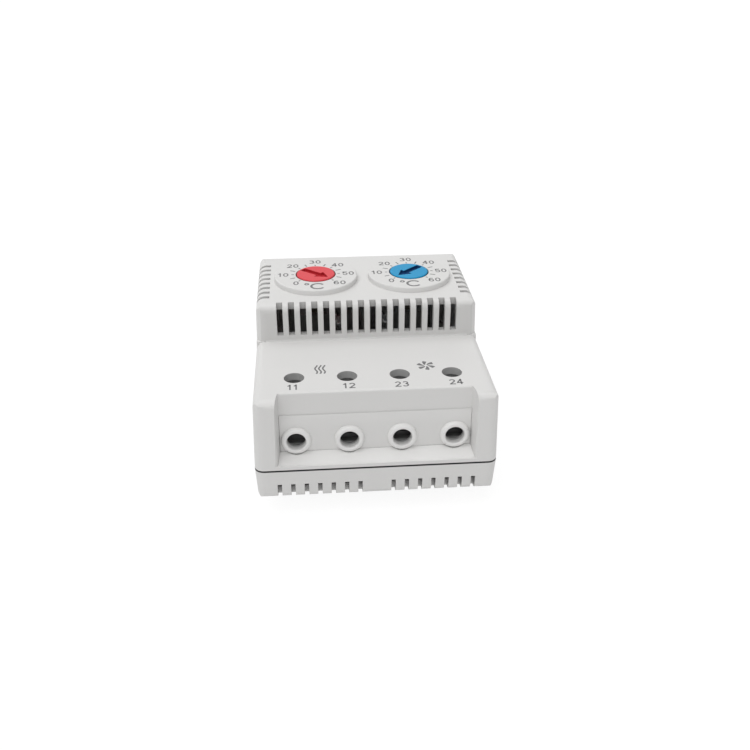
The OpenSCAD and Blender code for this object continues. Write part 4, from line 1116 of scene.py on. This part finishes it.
class THERMOSTAT_OT_springs(bpy.types.Operator):
    """Winds the setting springs and the latch spring from round wire"""

    bl_idname = "thermostat.springs"
    bl_label = "Springs"

    def execute(self, context):
        for side in SIDES:
            node = f"{side}_setting_spring"
            low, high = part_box(node)
            spring = self.coil(node, low.z, high.z, *SETTING_COIL)
            if side == "heating":
                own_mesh(spring)
        low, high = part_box("latch_spring")
        spring = self.coil("latch_spring", low.y, high.y, *LATCH_COIL, lean=math.radians(-90))
        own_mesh(spring)
        return {"FINISHED"}

    def coil(self, node, start, end, wire, turns, lean=0.0):
        """Round wire wound as long as from start to end, leant over where the spring lies down."""
        low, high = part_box(node)
        steps, rise = COIL_FACETS * turns, end - start - wire
        bm = bmesh.new()
        ring = bmesh.ops.create_circle(bm, cap_ends=True, segments=WIRE_FACETS, radius=wire / 2)["verts"]
        bmesh.ops.rotate(bm, cent=(0, 0, 0), matrix=Matrix.Rotation(math.radians(90), 3, "X"), verts=ring)
        bmesh.ops.translate(bm, vec=((high.x - low.x) / 2 - wire / 2, 0, -rise / 2), verts=ring)
        bmesh.ops.spin(bm, geom=bm.faces[:], cent=(0, 0, 0), axis=UP, dvec=(0, 0, rise / steps),
                       angle=math.tau * turns, steps=steps, use_merge=False)
        bmesh.ops.rotate(bm, cent=(0, 0, 0), matrix=Matrix.Rotation(lean, 3, "X"), verts=bm.verts)
        bmesh.ops.translate(bm, vec=centre_of(node), verts=bm.verts)
        bmesh.ops.recalc_face_normals(bm, faces=bm.faces)
        return new_piece(f"{node}_wire", bm, "housing", "spring_steel", smooth=WIRE_SMOOTH, node=node)


class THERMOSTAT_OT_works(bpy.types.Operator):
    """Gives every carried-over solid its finish"""

    bl_idname = "thermostat.works"
    bl_label = "Works Inside"

    def execute(self, context):
        for part in frame["record"]["subparts"]:
            solid = frame["nodes"][part["node"]]
            finish = finish_for(part["material_slot"])
            # The clamp cages' steel is darker as painted shade, for they are seen deep in the bores
            if part["node"].startswith("clamp_cage"):
                finish = worked("Phosphated Steel", (0.22, 0.22, 0.225), (0.14, 0.14, 0.14), 0.42)
            if not solid.data.materials:
                solid.data.materials.append(finish)
            for held in solid.material_slots:
                held.material = finish
        return {"FINISHED"}


class THERMOSTAT_OT_studio(bpy.types.Operator):
    """Sets the camera, the lamps, the pale floor and the white surroundings"""

    bl_idname = "thermostat.studio"
    bl_label = "Studio"

    def execute(self, context):
        studio = context.scene.thermostat_studio
        context.scene.view_settings.view_transform = "Standard"
        self.camera(context, studio)
        for name, (towards, width) in LAMPS.items():
            self.lamp(context, name, getattr(studio, name), towards, width)
        self.world(context, studio.ambient)
        self.floor(context)
        return {"FINISHED"}

    def camera(self, context, studio):
        """The camera at the photograph's viewing angle."""
        data = bpy.data.cameras.new("camera")
        data.sensor_fit = "HORIZONTAL"
        data.sensor_width = 36
        data.lens = studio.lens
        data.clip_start, data.clip_end = 0.005, 20
        camera = bpy.data.objects.new("camera", data)
        context.scene.collection.objects.link(camera)
        sight = Vector(studio.camera_aim) - Vector(studio.camera_place)
        turn = sight.to_track_quat("-Z", "Y").to_matrix().to_4x4()
        camera.matrix_world = (Matrix.Translation(studio.camera_place) @ turn
                               @ Matrix.Rotation(studio.camera_roll, 4, "Z"))
        context.scene.camera = camera

    def lamp(self, context, name, strength, towards, width):
        """A wide soft sun that shines from the given direction."""
        data = bpy.data.lights.new(name, "SUN")
        data.energy = strength
        data.angle = math.radians(width)
        lamp = bpy.data.objects.new(name, data)
        context.scene.collection.objects.link(lamp)
        lamp.rotation_euler = Vector(towards).to_track_quat("Z", "Y").to_euler()

    def bright_rays(self, tree):
        """One for camera, glossy and transmission rays, which see white surroundings, else zero."""
        path = add_node(tree, "LightPath").outputs
        some = math_node(tree, "MAXIMUM", path["Is Camera Ray"], path["Is Glossy Ray"])
        return math_node(tree, "MAXIMUM", some, path["Is Transmission Ray"])

    def world(self, context, ambient):
        """Even light all round, seen as plain white."""
        world = bpy.data.worlds.new("surroundings")
        world.use_nodes = True
        tree = world.node_tree
        ground = tree.nodes["Background"].inputs
        feed(tree, ground["Color"], (1, 1, 1, 1))
        white = times(tree, self.bright_rays(tree), 1.0 - ambient)
        feed(tree, ground["Strength"], plus(tree, white, ambient))
        context.scene.world = world

    def floor(self, context):
        """A wide pale floor under the clip's lowest faces, whose shadow stays faint."""
        seen_grey, bounced_grey, glow = (0.15, 0.15, 0.15, 1), (0.8, 0.8, 0.8, 1), 0.9
        bm = bmesh.new()
        bmesh.ops.create_grid(bm, x_segments=4, y_segments=4, size=3.0)
        bmesh.ops.translate(bm, vec=(0, 0, cad_box[0].z), verts=bm.verts)
        mesh = bpy.data.meshes.new("floor")
        bm.to_mesh(mesh)
        bm.free()
        floor = bpy.data.objects.new("floor", mesh)
        context.scene.collection.objects.link(floor)
        material = bpy.data.materials.new("Pale Floor")
        material.use_nodes = True
        tree = material.node_tree
        seen = self.bright_rays(tree)
        surface = {"Roughness": 0.9, "Specular IOR Level": 0.0, "Emission Color": (1, 1, 1, 1),
                   "Base Color": blended(tree, seen, bounced_grey, seen_grey),
                   "Emission Strength": times(tree, seen, glow)}
        for label, value in surface.items():
            feed(tree, tree.nodes["Principled BSDF"].inputs[label], value)
        mesh.materials.append(material)


OPERATORS = (
    THERMOSTAT_OT_shells, THERMOSTAT_OT_wire_panel, THERMOSTAT_OT_knobs, THERMOSTAT_OT_scales,
    THERMOSTAT_OT_deck_marks, THERMOSTAT_OT_screws, THERMOSTAT_OT_springs, THERMOSTAT_OT_works,
    THERMOSTAT_OT_studio,
)


class THERMOSTAT_PT_panel(bpy.types.Panel):
    """Lists the steps that dress the thermostat"""

    bl_label = "Twin Thermostat"
    bl_idname = "THERMOSTAT_PT_panel"
    bl_space_type = "VIEW_3D"
    bl_region_type = "UI"
    bl_category = "Thermostat"

    def draw(self, context):
        for operator in OPERATORS:
            self.layout.operator(operator.bl_idname)
        for name, settings in SETTINGS.items():
            box = self.layout.box()
            for key in settings.__annotations__:
                box.prop(getattr(context.scene, name), key)


def register():
    for name, settings in SETTINGS.items():
        bpy.utils.register_class(settings)
        setattr(bpy.types.Scene, name, bpy.props.PointerProperty(type=settings))
    for cls in (*OPERATORS, THERMOSTAT_PT_panel):
        bpy.utils.register_class(cls)


def unregister():
    for cls in (THERMOSTAT_PT_panel, *reversed(OPERATORS)):
        bpy.utils.unregister_class(cls)
    for name, settings in SETTINGS.items():
        delattr(bpy.types.Scene, name)
        bpy.utils.unregister_class(settings)


def main():
    register()
    bpy.ops.thermostat.shells()
    bpy.ops.thermostat.wire_panel()
    bpy.ops.thermostat.knobs()
    bpy.ops.thermostat.scales()
    bpy.ops.thermostat.deck_marks()
    bpy.ops.thermostat.screws()
    bpy.ops.thermostat.springs()
    bpy.ops.thermostat.works()
    bpy.ops.thermostat.studio()


if __name__ == "__main__":
    main()
